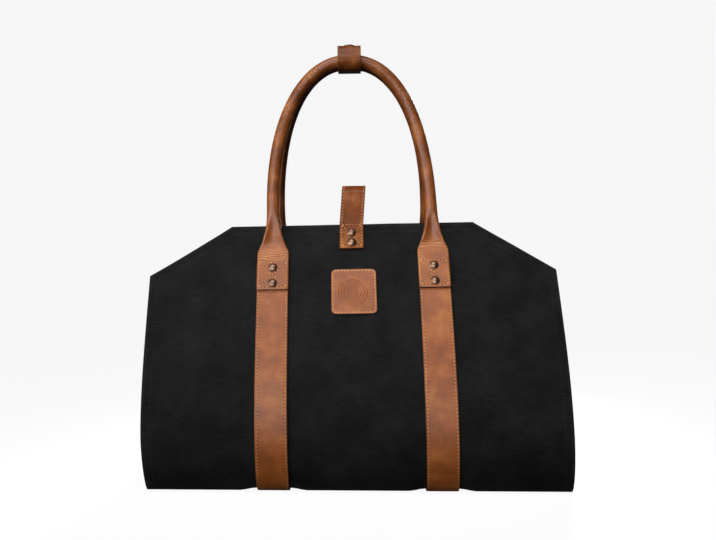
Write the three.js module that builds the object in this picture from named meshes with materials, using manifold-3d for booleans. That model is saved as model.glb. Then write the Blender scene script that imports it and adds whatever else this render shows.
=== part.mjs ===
// A canvas log carrier: a sheet of waxed canvas slung in a U, two leather straps that run
// right under it, a pair of rolled leather handles held together by a snapped keeper, and a
// closure strap over the mouth. Millimetres, +Z up, the front faces -Y. The origin is on the
// floor under the middle of the base.
import * as THREE from "three";
import { mergeVertices } from "three/addons/utils/BufferGeometryUtils.js";
import Module from "manifold-3d";

const wasm = await Module();
wasm.setup();

// Canvas sheet, as cut and hemmed
const SHEET_WIDTH = 500;
const MOUTH_EDGE_WIDTH = 304;
const CORNER_CUT_DROP = 66;
const CANVAS_THICKNESS = 1.8;
const HEM_WIDTH = 12;
const HEM_THICKNESS = 3.4;
const HEM_STEP = 1.5;

// Side view of the loaded shape
const BASE_HALF_DEPTH = 106;
const BELLY_HALF_DEPTH = 134;
const BELLY_HEIGHT = 60;
const MOUTH_HALF_DEPTH = 38;
const MOUTH_HEIGHT = 317;
const MOUTH_LEAN = THREE.MathUtils.degToRad(22);
const BELLY_PULL = 75;
const MOUTH_PULL = 75;

// How the standing carrier leans to the left and twists, per millimetre, and the share of its
// width that the handles gather in at the mouth
const LEAN = 0.021;
const GATHER = 0.012;
const TWIST = 0.028;
const TWIST_PIVOT_HEIGHT = 190;

// Leather straps under the carrier
const STRAP_WIDTH = 38;
const STRAP_THICKNESS = 2.6;
const STRAP_SPACING = 198;
const STRAP_END_DROP = 46;
const STRAP_EDGE_ROUND = 1.2;
const DRAPE_REACH = 21;

// Rolled handles: their heights are above the mouth edge, and an arch of squareness 2 is an ellipse
const TUBE_DIAMETER = 16;
const TAB_WIDTH = 39;
const TAB_THICKNESS = 2.8;
const TAB_END_DROP = 89.5;
const TAB_LENGTH = 51.5;
const FLARE_LENGTH = 67;
const TUBE_STANDOFF = 1.2;
const ARCH_SPRING_RISE = 18;
const HANDLE_RISE = 210.5;
const ARCH_SQUARENESS = 2.2;
const HANDLE_EDGE_SLOPE = 0.25;
const HANDLE_CLEARANCE = 0.9;
const FRONT_HANDLE_SWAY = -1.5;
const BACK_HANDLE_SWAY = 0.5;

// Closure strap over the mouth: its height above the mouth edge, its half depth on top as a share
// of the mouth's, its place along the edge, and how far it leans over sideways
const CLOSURE_WIDTH = 30;
const CLOSURE_THICKNESS = 3.4;
const CLOSURE_END_DROP = 34.5;
const CLOSURE_RISE = 50;
const CLOSURE_DEPTH_SHARE = 0.79;
const CLOSURE_CORNER = 14;
const CLOSURE_SHIFT = -1.6;
const CLOSURE_SKEW = 0.084;

// Keeper round both handles
const KEEPER_WIDTH = 30;
const KEEPER_THICKNESS = 2.8;
const KEEPER_CLEARANCE = 0.6;
const KEEPER_OVERLAP_GAP = 5.5;
const KEEPER_OUTER_END = 11;
const KEEPER_INNER_END = 7;

// Patch
const PATCH_WIDTH = 55;
const PATCH_LENGTH = 59;
const PATCH_CORNER = 6;
const PATCH_THICKNESS = 2.2;
const PATCH_DROP = 92;

// Rivets and snap
const CAP_DIAMETER = 11;
const CAP_HEIGHT = 2.6;
const BACK_CAP_DIAMETER = 9;
const BACK_CAP_HEIGHT = 1.2;
const POST_DIAMETER = 3.6;
const HOLE_CLEARANCE = 0.3;
const TAB_RIVET_DROPS = [60.5, 81.5];
const CLOSURE_RIVET_DROPS = [13, 26.5];
const SNAP_CAP_DIAMETER = 14.4;
const SNAP_CAP_HEIGHT = 2.3;
const SNAP_POST_DIAMETER = 3.6;
const SNAP_SOCKET_DIAMETER = 10;
const SNAP_STUD_DIAMETER = 4.8;

// Pieces that touch keep this gap
const SEAT = 0.3;

// Fineness of the facets
const WALL_STEP = 30;
const TOE_STEP = 13;
const ARCH_STEPS = 30;
const RING_SIDES = 12;
const RIVET_SIDES = 12;

const FRONT = -1;
const BACK = 1;

const leather = new THREE.MeshStandardMaterial({ color: 0x8a4f2b, roughness: 0.5, metalness: 0 });
const canvas = new THREE.MeshStandardMaterial({ color: 0x1b1b1c, roughness: 0.92, metalness: 0 });
const rivetMetal = new THREE.MeshStandardMaterial({ color: 0x6b5346, roughness: 0.32, metalness: 1 });

// Heights set from the mouth edge, so that what hangs on the edge moves with it
const ARCH_SPRING_HEIGHT = MOUTH_HEIGHT + ARCH_SPRING_RISE;
const HANDLE_TOP = MOUTH_HEIGHT + HANDLE_RISE;
const CLOSURE_TOP_HEIGHT = MOUTH_HEIGHT + CLOSURE_RISE;
const CLOSURE_HALF_DEPTH = MOUTH_HALF_DEPTH * CLOSURE_DEPTH_SHARE;

// Half of the side view: x is the distance out from the middle plane, y is the height.
const halfProfile = new THREE.Path();
halfProfile.moveTo(0, 0);
halfProfile.lineTo(BASE_HALF_DEPTH, 0);
halfProfile.absellipse(
  BASE_HALF_DEPTH,
  BELLY_HEIGHT,
  BELLY_HALF_DEPTH - BASE_HALF_DEPTH,
  BELLY_HEIGHT,
  -Math.PI / 2,
  0,
  false,
);
halfProfile.bezierCurveTo(
  BELLY_HALF_DEPTH,
  BELLY_HEIGHT + BELLY_PULL,
  MOUTH_HALF_DEPTH + MOUTH_PULL * Math.sin(MOUTH_LEAN),
  MOUTH_HEIGHT - MOUTH_PULL * Math.cos(MOUTH_LEAN),
  MOUTH_HALF_DEPTH,
  MOUTH_HEIGHT,
);
const HALF_LENGTH = halfProfile.getLength();
const TOE_START = HALF_LENGTH - halfProfile.getCurveLengths()[0];
const TOE_END = HALF_LENGTH - halfProfile.getCurveLengths()[1];

const smooth = (t) => THREE.MathUtils.smoothstep(t, 0, 1);
const strapCentre = (hand) => (hand * STRAP_SPACING) / 2;
const STRAP_STACK = SEAT + STRAP_THICKNESS;
const TAB_STACK = STRAP_STACK + SEAT + TAB_THICKNESS;

// The canvas lies on the floor but rides over the straps that run beneath it.
function riseOverStrap(x, height) {
  const fromStrap = Math.abs(Math.abs(x) - STRAP_SPACING / 2) - STRAP_WIDTH / 2 - 1;
  return STRAP_STACK * smooth(1 - fromStrap / (DRAPE_REACH - 1)) * smooth(1 - height / BELLY_HEIGHT);
}

// A point on the sheet's outer face, `drop` below the mouth edge along the cloth on the front
// or back, moved `proud` outwards.
function onSheet(side, drop, x, proud) {
  const share = THREE.MathUtils.clamp(1 - drop / HALF_LENGTH, 0, 1);
  const at = halfProfile.getPoint(share);
  const along = halfProfile.getTangent(share);
  const out = at.x + along.y * proud;
  const up = at.y - along.x * proud + riseOverStrap(x, at.y);
  return new THREE.Vector3(x, side * out, up);
}

function outwards(side, drop, x) {
  return onSheet(side, drop, x, 1).sub(onSheet(side, drop, x, 0)).normalize();
}

// The whole carrier leans, twists and gathers a little as it stands.
function settle(geometry) {
  const position = geometry.getAttribute("position");
  const v = new THREE.Vector3();
  for (let i = 0; i < position.count; i++) {
    v.fromBufferAttribute(position, i);
    const risen = Math.min(v.z, MOUTH_HEIGHT);
    position.setXYZ(
      i,
      v.x * (1 - GATHER * (risen / MOUTH_HEIGHT) ** 2) - LEAN * v.z,
      v.y - TWIST * v.x * (1 - risen / TWIST_PIVOT_HEIGHT),
      v.z + (LEAN * v.x * risen) / MOUTH_HEIGHT,
    );
  }
  geometry.computeVertexNormals();
  return geometry;
}

function fromTriangles(points, triangles) {
  const geometry = new THREE.BufferGeometry().setFromPoints(points);
  geometry.setIndex(triangles.flat());
  return geometry;
}

const solidOf = (geometry) => {
  const bare = geometry.clone();
  bare.deleteAttribute("normal");
  bare.deleteAttribute("uv");
  const merged = mergeVertices(bare, 1e-4);
  return new wasm.Manifold(
    new wasm.Mesh({
      numProp: 3,
      vertProperties: merged.getAttribute("position").array,
      triVerts: new Uint32Array(merged.index.array),
    }),
  );
};

const geometryOf = (solid) => {
  const mesh = solid.getMesh();
  const geometry = new THREE.BufferGeometry();
  geometry.setAttribute("position", new THREE.BufferAttribute(mesh.vertProperties, 3));
  geometry.setIndex(new THREE.BufferAttribute(mesh.triVerts, 1));
  return geometry;
};

// Drills a hole for each { at, axis, diameter }.
function drilled(geometry, holes) {
  const reach = 30;
  let solid = solidOf(geometry);
  for (const { at, axis, diameter } of holes) {
    const drill = new THREE.CylinderGeometry(diameter / 2, diameter / 2, reach, RIVET_SIDES);
    drill.applyQuaternion(new THREE.Quaternion().setFromUnitVectors(THREE.Object3D.DEFAULT_UP, axis));
    drill.translate(at.x, at.y, at.z);
    solid = solid.subtract(solidOf(drill));
  }
  return geometryOf(solid);
}

// Rows of the sheet from one drop to another, closer together round the toe and none across
// the flat base.
const marks = [
  0,
  HEM_WIDTH,
  HEM_WIDTH + HEM_STEP,
  CLOSURE_END_DROP,
  STRAP_END_DROP,
  CORNER_CUT_DROP,
  TAB_END_DROP,
  TOE_END,
  TOE_START,
  HALF_LENGTH,
];
function rowsBetween(from, to) {
  const ends = [from, ...marks.filter((mark) => mark > from && mark < to), to];
  return ends.flatMap((end, i) => {
    if (i === 0) return [end];
    const start = ends[i - 1];
    const onToe = start >= TOE_END && end <= TOE_START;
    const parts = start >= TOE_START ? 1 : Math.ceil((end - start) / (onToe ? TOE_STEP : WALL_STEP));
    return Array.from({ length: parts }, (_, k) => start + ((end - start) * (k + 1)) / parts);
  });
}

// A thin closed wall that follows the sheet. `rows` are { side, drop }, `columns(row)` gives the
// same number of x values for each, and `outer` and `inner` give how proud each face stands.
function sheetWall(rows, columns, outer, inner) {
  const points = [];
  for (const face of [outer, inner]) {
    for (const row of rows) {
      const xs = columns(row);
      xs.forEach((x, j) => points.push(onSheet(row.side, row.drop, x, face(row, x, j, xs.length))));
    }
  }
  const across = columns(rows[0]).length;
  const layer = rows.length * across;
  const triangles = [];
  const quad = (a, b, c, d) => triangles.push([a, b, c], [a, c, d]);
  for (let i = 0; i < rows.length - 1; i++) {
    for (let j = 0; j < across - 1; j++) {
      const a = i * across + j;
      quad(a, a + across, a + across + 1, a + 1);
      quad(layer + a, layer + a + 1, layer + a + across + 1, layer + a + across);
    }
    const left = i * across;
    const right = left + across - 1;
    quad(left, layer + left, layer + left + across, left + across);
    quad(right, right + across, layer + right + across, layer + right);
  }
  for (let j = 0; j < across - 1; j++) {
    const last = (rows.length - 1) * across + j;
    quad(j, j + 1, layer + j + 1, layer + j);
    quad(last, layer + last, layer + last + 1, last + 1);
  }
  return fromTriangles(points, triangles);
}

const wholeRun = (from) => [
  ...rowsBetween(from, HALF_LENGTH).map((drop) => ({ side: FRONT, drop })),
  ...rowsBetween(from, HALF_LENGTH)
    .slice(0, -1)
    .reverse()
    .map((drop) => ({ side: BACK, drop })),
];

// Canvas
const cutRun = (SHEET_WIDTH - MOUTH_EDGE_WIDTH) / 2;
const cutHemAcross = (HEM_WIDTH * Math.hypot(cutRun, CORNER_CUT_DROP)) / CORNER_CUT_DROP;
const slantAt = (drop) => MOUTH_EDGE_WIDTH / 2 + (cutRun * drop) / CORNER_CUT_DROP;
const halfWidthAt = (drop) => Math.min(SHEET_WIDTH / 2, slantAt(drop));
const hemLineAt = (drop) => Math.min(SHEET_WIDTH / 2 - HEM_WIDTH, slantAt(drop) - cutHemAcross);

function canvasColumns({ drop }) {
  const strapIn = (STRAP_SPACING - STRAP_WIDTH) / 2 - 1;
  const strapOut = (STRAP_SPACING + STRAP_WIDTH) / 2 + 1;
  const stepLine = hemLineAt(drop) - HEM_STEP;
  const between = (share) => THREE.MathUtils.lerp(strapOut, stepLine, share);
  const half = [
    strapIn - DRAPE_REACH + 1,
    strapIn,
    strapOut,
    between(0.2),
    between(0.6),
    stepLine,
    hemLineAt(drop),
    halfWidthAt(drop),
  ];
  return [...half.map((x) => -x).reverse(), 0, ...half];
}

const closureHoles = [FRONT, BACK].flatMap((side) => CLOSURE_RIVET_DROPS.map((drop) => ({ side, drop, x: CLOSURE_SHIFT })));
const tabHoles = [FRONT, BACK].flatMap((side) =>
  [-1, 1].flatMap((hand) => TAB_RIVET_DROPS.map((drop) => ({ side, drop, x: strapCentre(hand), hand }))),
);
const holeAt = ({ side, drop, x }) => ({
  at: onSheet(side, drop, x, 0),
  axis: outwards(side, drop, x),
  diameter: POST_DIAMETER + 2 * HOLE_CLEARANCE,
});

function canvasSheet() {
  const hemmed = ({ drop }, j, count) => drop <= HEM_WIDTH || j <= 1 || j >= count - 2;
  const rows = wholeRun(0);
  const wall = sheetWall(
    rows,
    canvasColumns,
    () => 0,
    (row, x, j, count) => (hemmed(row, j, count) ? -HEM_THICKNESS : -CANVAS_THICKNESS),
  );
  return drilled(wall, [...closureHoles, ...tabHoles].map(holeAt));
}

// Straps
function strap(hand) {
  const centre = strapCentre(hand);
  const half = STRAP_WIDTH / 2;
  const xs = [-half, STRAP_EDGE_ROUND - half, half - STRAP_EDGE_ROUND, half].map((x) => centre + x);
  const wall = sheetWall(
    wholeRun(STRAP_END_DROP),
    () => xs,
    (row, x, j, count) => STRAP_STACK - (j === 0 || j === count - 1 ? STRAP_EDGE_ROUND / 2 : 0),
    () => SEAT,
  );
  return drilled(wall, tabHoles.filter((hole) => hole.hand === hand).map(holeAt));
}

// Handles: a ring section that runs from a flat tab to a round tube.
const SHOULDER_DROP = TAB_END_DROP - TAB_LENGTH;
function section(width, thickness, flatness) {
  return Array.from({ length: RING_SIDES }, (_, k) => {
    const angle = (2 * Math.PI * k) / RING_SIDES;
    const round = new THREE.Vector2(Math.cos(angle), Math.sin(angle));
    const side = Math.abs(round.y) < 0.01;
    const flatX = side ? Math.sign(round.x) : Math.sign(round.x) * (Math.abs(round.x) > 0.6 ? 0.97 : 0.5);
    const flat = new THREE.Vector2(Math.abs(round.x) < 0.01 ? 0 : flatX, side ? 0 : Math.sign(round.y));
    return round.lerp(flat, flatness).multiply(new THREE.Vector2(width / 2, thickness / 2));
  });
}

// One leg's sections from the tab's end to the canvas edge, in the middle plane of its strap.
function legSections() {
  const tab = rowsBetween(SHOULDER_DROP, TAB_END_DROP).reverse();
  const flareParts = 6;
  const flare = Array.from({ length: flareParts }, (_, k) => SHOULDER_DROP * (1 - (k + 1) / flareParts));
  return [...tab, ...flare].map((drop) => {
    const up = Math.max(0, SHOULDER_DROP - drop);
    const width = TUBE_DIAMETER + (TAB_WIDTH - TUBE_DIAMETER) * (1 - up / FLARE_LENGTH) ** 3;
    const fullness = smooth((2 * up) / FLARE_LENGTH);
    const thickness = TAB_THICKNESS + (TUBE_DIAMETER - TAB_THICKNESS) * fullness;
    const standoff = THREE.MathUtils.lerp(STRAP_STACK + SEAT, TUBE_STANDOFF, smooth(up / SHOULDER_DROP));
    return {
      at: onSheet(FRONT, drop, 0, standoff + thickness / 2),
      width,
      thickness,
      flatness: 1 - smooth((1.6 * up) / FLARE_LENGTH),
    };
  });
}

// Side view of the tube above the canvas edge: a smooth run in to the keeper.
function tubeDepth(edge, height) {
  const rise = HANDLE_TOP - edge.z;
  const t = (height - edge.z) / rise;
  const end = -(TUBE_DIAMETER + HANDLE_CLEARANCE) / 2;
  const ease = t * t * (3 - 2 * t);
  return edge.y + rise * HANDLE_EDGE_SLOPE * t * (1 - t) ** 2 + (end - edge.y) * ease;
}

function handleStations(sway) {
  const leg = legSections();
  const edge = leg[leg.length - 1].at;
  const half = STRAP_SPACING / 2;
  const at = (x, z) => {
    const share = (z - edge.z) / (HANDLE_TOP - edge.z);
    return new THREE.Vector3(x + sway * Math.sin(Math.PI * share), tubeDepth(edge, z), z);
  };
  const tube = { thickness: TUBE_DIAMETER, flatness: 0 };
  const necks = [0.35, 0.7].map((share) => {
    const z = THREE.MathUtils.lerp(edge.z, ARCH_SPRING_HEIGHT, share);
    const left = 1 - (SHOULDER_DROP + z - edge.z) / FLARE_LENGTH;
    return { z, width: TUBE_DIAMETER + (TAB_WIDTH - TUBE_DIAMETER) * Math.max(0, left) ** 3 };
  });
  const up = [
    ...leg.map((s) => ({ ...s, at: s.at.clone().setX(-half) })),
    ...necks.map(({ z, width }) => ({ ...tube, width, at: at(-half, z) })),
  ];
  const down = [
    ...leg.map((s) => ({ ...s, at: s.at.clone().setX(half) })),
    ...necks.map(({ z, width }) => ({ ...tube, width, at: at(half, z) })),
  ].reverse();
  const arch = Array.from({ length: ARCH_STEPS + 1 }, (_, k) => {
    const angle = Math.PI * (1 - k / ARCH_STEPS);
    const squared = (value) => Math.sign(value) * Math.abs(value) ** (2 / ARCH_SQUARENESS);
    const z = ARCH_SPRING_HEIGHT + (HANDLE_TOP - ARCH_SPRING_HEIGHT) * squared(Math.sin(angle));
    return { ...tube, width: TUBE_DIAMETER, at: at(half * squared(Math.cos(angle)), z) };
  });
  return [...up, ...arch, ...down];
}

// Skins rings of equal length into one closed body.
function loft(rings) {
  const count = rings[0].length;
  const triangles = [];
  for (let i = 0; i < rings.length - 1; i++) {
    for (let k = 0; k < count; k++) {
      const a = i * count + k;
      const b = i * count + ((k + 1) % count);
      triangles.push([a, b + count, b], [a, a + count, b + count]);
    }
  }
  const last = (rings.length - 1) * count;
  for (let k = 1; k < count - 1; k++) {
    triangles.push([0, k, k + 1], [last, last + k + 1, last + k]);
  }
  return fromTriangles(rings.flat(), triangles);
}

function handle(side) {
  const stations = handleStations(side === FRONT ? FRONT_HANDLE_SWAY : BACK_HANDLE_SWAY);
  const rings = stations.map((station, i) => {
    const before = stations[Math.max(0, i - 1)].at;
    const after = stations[Math.min(stations.length - 1, i + 1)].at;
    const along = after.clone().sub(before).normalize();
    const front = new THREE.Vector3(0, -1, 0).addScaledVector(along, along.y).normalize();
    const across = along.clone().cross(front);
    return section(station.width, station.thickness, station.flatness).map((p) =>
      station.at.clone().addScaledVector(across, p.x).addScaledVector(front, p.y),
    );
  });
  const facing = side === FRONT ? rings : rings.map((ring) => ring.map((p) => p.setY(-p.y)).reverse());
  return drilled(loft(facing), tabHoles.filter((hole) => hole.side === side).map(holeAt));
}

// A ribbon of leather seen edge on: `line` runs in the Y-Z plane and is drawn out along X.
function ribbon(line, thickness, width) {
  const offset = (by) =>
    line.map((p, i) => {
      const along = line[Math.min(i + 1, line.length - 1)].clone().sub(line[Math.max(i - 1, 0)]);
      const normal = new THREE.Vector2(-along.y, along.x).normalize();
      return p.clone().addScaledVector(normal, by);
    });
  const outline = [...offset(thickness / 2), ...offset(-thickness / 2).reverse()];
  const body = new THREE.ExtrudeGeometry(new THREE.Shape(outline), { depth: width, bevelEnabled: false });
  body.translate(0, 0, -width / 2);
  body.applyMatrix4(new THREE.Matrix4().set(0, 0, 1, 0, 1, 0, 0, 0, 0, 1, 0, 0, 0, 0, 0, 1));
  return body;
}

function closureLine() {
  const proud = SEAT + CLOSURE_THICKNESS / 2;
  const onCanvas = rowsBetween(0, CLOSURE_END_DROP).map((drop) => onSheet(FRONT, drop, 0, proud));
  const edge = onCanvas[0];
  const top = CLOSURE_TOP_HEIGHT - CLOSURE_THICKNESS / 2;
  const arch = new THREE.Path();
  arch.moveTo(edge.y, edge.z);
  const pull = (top - CLOSURE_CORNER - edge.z) / 3;
  arch.bezierCurveTo(
    edge.y + pull * Math.sin(MOUTH_LEAN),
    edge.z + pull * Math.cos(MOUTH_LEAN),
    -CLOSURE_HALF_DEPTH,
    top - CLOSURE_CORNER - pull,
    -CLOSURE_HALF_DEPTH,
    top - CLOSURE_CORNER,
  );
  arch.absarc(CLOSURE_CORNER - CLOSURE_HALF_DEPTH, top - CLOSURE_CORNER, CLOSURE_CORNER, Math.PI, Math.PI / 2, true);
  const half = [...onCanvas.slice(1).reverse().map((p) => new THREE.Vector2(p.y, p.z)), ...arch.getPoints(4)];
  return [...half, ...half.map((p) => new THREE.Vector2(-p.x, p.y)).reverse()];
}

function closureStrap() {
  const body = ribbon(closureLine(), CLOSURE_THICKNESS, CLOSURE_WIDTH);
  const position = body.getAttribute("position");
  for (let i = 0; i < position.count; i++) {
    const lean = CLOSURE_SKEW * Math.max(0, position.getZ(i) - MOUTH_HEIGHT);
    position.setX(i, position.getX(i) + CLOSURE_SHIFT + lean);
  }
  return drilled(body, closureHoles.map(holeAt));
}

// Keeper: it starts on top of the tubes, wraps back and under both, and laps over its own start.
const tubeOffset = (TUBE_DIAMETER + HANDLE_CLEARANCE) / 2;
const archFall = (1 - (KEEPER_WIDTH / STRAP_SPACING) ** ARCH_SQUARENESS) ** (1 / ARCH_SQUARENESS);
const archSag = (HANDLE_TOP - ARCH_SPRING_HEIGHT) * (1 - archFall);
const keeperRadius = (TUBE_DIAMETER + archSag + KEEPER_THICKNESS) / 2 + KEEPER_CLEARANCE;
const keeperMiddle = -archSag / 2;
const innerLap = keeperMiddle + keeperRadius;
const outerLap = innerLap + KEEPER_THICKNESS + KEEPER_OVERLAP_GAP;

function keeperWrap() {
  const leave = (5 * Math.PI) / 6;
  const leaveY = -tubeOffset + keeperRadius * Math.cos(leave);
  const leaveZ = keeperMiddle + keeperRadius * Math.sin(leave);
  const pull = 7;
  const path = new THREE.Path();
  path.moveTo(-KEEPER_INNER_END, innerLap);
  path.lineTo(tubeOffset, innerLap);
  path.absarc(tubeOffset, keeperMiddle, keeperRadius, Math.PI / 2, -Math.PI / 2, true);
  path.lineTo(-tubeOffset, keeperMiddle - keeperRadius);
  path.absarc(-tubeOffset, keeperMiddle, keeperRadius, -Math.PI / 2, leave - 2 * Math.PI, true);
  path.bezierCurveTo(
    leaveY + pull * Math.sin(leave),
    leaveZ - pull * Math.cos(leave),
    -SNAP_CAP_DIAMETER / 2 - pull,
    outerLap,
    -SNAP_CAP_DIAMETER / 2,
    outerLap,
  );
  path.lineTo(KEEPER_OUTER_END, outerLap);
  const body = ribbon(path.getPoints(5), KEEPER_THICKNESS, KEEPER_WIDTH);
  body.translate(0, 0, HANDLE_TOP);
  const up = new THREE.Vector3(0, 0, 1);
  const diameter = SNAP_POST_DIAMETER + 2 * HOLE_CLEARANCE;
  return drilled(body, [{ at: new THREE.Vector3(0, 0, HANDLE_TOP + innerLap), axis: up, diameter }]);
}

// Turned metal: `profile` is [radius, height] pairs from the axis up and back to the axis.
function turned(profile, at, axis) {
  const body = new THREE.LatheGeometry(
    profile.map(([r, h]) => new THREE.Vector2(r, h)),
    RIVET_SIDES,
  );
  body.applyQuaternion(new THREE.Quaternion().setFromUnitVectors(THREE.Object3D.DEFAULT_UP, axis));
  body.translate(at.x, at.y, at.z);
  return body;
}

const dome = (radius, height, base) => [
  [radius, base],
  [radius, base + 0.3 * height],
  [0.65 * radius, base + 0.85 * height],
  [0, base + height],
];

// A rivet through everything between the outer stack and the canvas's inner face.
function rivet({ side, drop, x }, stack) {
  const post = POST_DIAMETER / 2;
  const backCap = BACK_CAP_DIAMETER / 2;
  const cloth = drop - backCap < HEM_WIDTH ? HEM_THICKNESS : CANVAS_THICKNESS;
  const inner = -cloth - SEAT;
  const profile = [
    [0, inner - BACK_CAP_HEIGHT],
    [0.85 * backCap, inner - BACK_CAP_HEIGHT],
    [backCap, inner],
    [post, inner],
    [post, stack + SEAT],
    ...dome(CAP_DIAMETER / 2, CAP_HEIGHT, stack + SEAT),
  ];
  return turned(profile, onSheet(side, drop, x, 0), outwards(side, drop, x));
}

function snapCap() {
  const post = SNAP_POST_DIAMETER / 2;
  const socket = SNAP_SOCKET_DIAMETER / 2;
  const bore = SNAP_STUD_DIAMETER / 2 + 2 * HOLE_CLEARANCE;
  const under = outerLap - KEEPER_THICKNESS / 2 - SEAT;
  const over = outerLap + KEEPER_THICKNESS / 2 + SEAT;
  const rim = innerLap + KEEPER_THICKNESS / 2 + 0.36 * KEEPER_OVERLAP_GAP;
  const profile = [
    [0, under - 1],
    [bore, under - 1],
    [bore, rim],
    [socket, rim],
    [socket, under],
    [post, under],
    [post, over],
    ...dome(SNAP_CAP_DIAMETER / 2, SNAP_CAP_HEIGHT, over),
  ];
  return turned(profile, new THREE.Vector3(0, 0, HANDLE_TOP), new THREE.Vector3(0, 0, 1));
}

function snapStud() {
  const post = SNAP_POST_DIAMETER / 2;
  const stud = SNAP_STUD_DIAMETER / 2;
  const flange = 0.46 * SNAP_SOCKET_DIAMETER;
  const backPlate = 0.44 * SNAP_SOCKET_DIAMETER;
  const under = innerLap - KEEPER_THICKNESS / 2 - SEAT;
  const over = innerLap + KEEPER_THICKNESS / 2 + SEAT;
  const top = outerLap - KEEPER_THICKNESS / 2 - SEAT - 1 - HOLE_CLEARANCE;
  const profile = [
    [0, under - 0.9],
    [backPlate, under - 0.9],
    [backPlate, under],
    [post, under],
    [post, over],
    [flange, over],
    [flange, over + 0.9],
    [stud, over + 0.9],
    [stud, top - 0.5],
    [0.7 * stud, top],
    [0, top],
  ];
  return turned(profile, new THREE.Vector3(0, 0, HANDLE_TOP), new THREE.Vector3(0, 0, 1));
}

// Patch: a rounded rectangle that follows the front of the sheet.
function patch() {
  const half = PATCH_WIDTH / 2;
  const top = PATCH_DROP - PATCH_LENGTH / 2;
  const corner = [0, 0.13, 0.4, 1].map((share) => share * PATCH_CORNER);
  const rows = [
    ...corner.map((c) => top + c),
    ...rowsBetween(top + PATCH_CORNER, top + PATCH_LENGTH - PATCH_CORNER).slice(1, -1),
    ...corner.map((c) => top + PATCH_LENGTH - c).reverse(),
  ].map((drop) => ({ side: FRONT, drop }));
  const halfAt = ({ drop }) => {
    const toEnd = Math.min(drop - top, top + PATCH_LENGTH - drop);
    const into = Math.max(0, PATCH_CORNER - toEnd);
    return half - PATCH_CORNER + Math.sqrt(PATCH_CORNER ** 2 - into ** 2);
  };
  const columns = (row) => [-1, -0.5, 0, 0.5, 1].map((share) => share * halfAt(row));
  return sheetWall(rows, columns, () => SEAT + PATCH_THICKNESS, () => SEAT);
}

const carrier = new THREE.Group();
function add(name, geometry, material) {
  const mesh = new THREE.Mesh(settle(geometry), material);
  mesh.name = name;
  carrier.add(mesh);
}

const handName = (hand) => (hand < 0 ? "left" : "right");
const sideName = (side) => (side === FRONT ? "front" : "back");

add("canvas_sheet", canvasSheet(), canvas);
for (const hand of [-1, 1]) add(`strap_${handName(hand)}`, strap(hand), leather);
for (const side of [FRONT, BACK]) add(`handle_${sideName(side)}`, handle(side), leather);
add("closure_strap", closureStrap(), leather);
add("keeper_wrap", keeperWrap(), leather);
add("keeper_snap_cap", snapCap(), rivetMetal);
add("keeper_snap_stud", snapStud(), rivetMetal);
add("patch", patch(), leather);
for (const hole of tabHoles) {
  const row = TAB_RIVET_DROPS.indexOf(hole.drop) === 0 ? "upper" : "lower";
  add(`rivet_${sideName(hole.side)}_${handName(hole.hand)}_${row}`, rivet(hole, TAB_STACK), rivetMetal);
}
for (const hole of closureHoles) {
  const row = CLOSURE_RIVET_DROPS.indexOf(hole.drop) === 0 ? "upper" : "lower";
  add(`closure_rivet_${sideName(hole.side)}_${row}`, rivet(hole, SEAT + CLOSURE_THICKNESS), rivetMetal);
}

export default carrier;
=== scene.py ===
"""Looks of a canvas log carrier: a waxed canvas sling with strap leather sewn right round it,
rolled leather handles, a snapped keeper, a closure strap and a patch. Lengths are metres."""

import math
from bisect import bisect_right
import bmesh
import bpy
from bpy.props import FloatProperty, FloatVectorProperty, PointerProperty
from mathutils import Matrix, Vector, noise
from mathutils.geometry import interpolate_bezier


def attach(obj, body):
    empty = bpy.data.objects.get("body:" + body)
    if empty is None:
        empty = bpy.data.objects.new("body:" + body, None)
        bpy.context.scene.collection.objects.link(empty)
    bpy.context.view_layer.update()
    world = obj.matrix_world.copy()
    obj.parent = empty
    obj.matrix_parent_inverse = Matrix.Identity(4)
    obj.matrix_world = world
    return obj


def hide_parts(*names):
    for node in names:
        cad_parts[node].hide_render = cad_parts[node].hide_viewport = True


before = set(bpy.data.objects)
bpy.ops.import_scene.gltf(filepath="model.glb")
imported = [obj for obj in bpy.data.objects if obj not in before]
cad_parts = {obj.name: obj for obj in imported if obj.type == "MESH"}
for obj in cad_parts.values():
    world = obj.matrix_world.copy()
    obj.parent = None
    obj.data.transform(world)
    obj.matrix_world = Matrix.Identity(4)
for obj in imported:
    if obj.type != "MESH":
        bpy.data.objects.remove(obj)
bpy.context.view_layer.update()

bl_info = {
    "name": "Canvas Log Carrier",
    "version": (1, 0, 0),
    "blender": (4, 5, 0),
    "location": "View3D > Sidebar > Carrier",
    "description": "Makes a waxed canvas log carrier with leather straps and rolled handles",
    "category": "Add Mesh",
}

MM = 0.001
FRONT, BACK = -1, 1
SIDES = {"front": FRONT, "back": BACK}
HANDS = {"left": -1, "right": 1}
# Pieces that lie on each other keep this gap, as the solids do.
SEAT = 0.3 * MM
# What a leather mesh stores about its wear and its painted light, from 0 to 1.
WEAR = ("edge", "pull", "oil")
# The distance between two bands of a wave texture at scale 1.
WAVE = 0.314


def linear(colour):
    """An sRGB hex value, such as 0x8E522A, as a linear colour with full alpha."""
    channels = [((colour >> shift) & 255) / 255 for shift in (16, 8, 0)]
    return (*(c / 12.92 if c <= 0.04045 else ((c + 0.055) / 1.055) ** 2.4 for c in channels), 1.0)


def factor(name, description, value, **more):
    return FloatProperty(name=name, description=description, default=value, precision=4, **more)


def shift(name, description, millimetres, **more):
    """A length that may be to either side."""
    return factor(name, description, millimetres * MM, unit="LENGTH", **more)


def length(name, description, millimetres):
    return shift(name, description, millimetres, min=0)


def colour(name, description, value):
    return FloatVectorProperty(
        name=name,
        description=description,
        default=linear(value),
        size=4,
        min=0,
        max=1,
        subtype="COLOR",
    )


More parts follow.
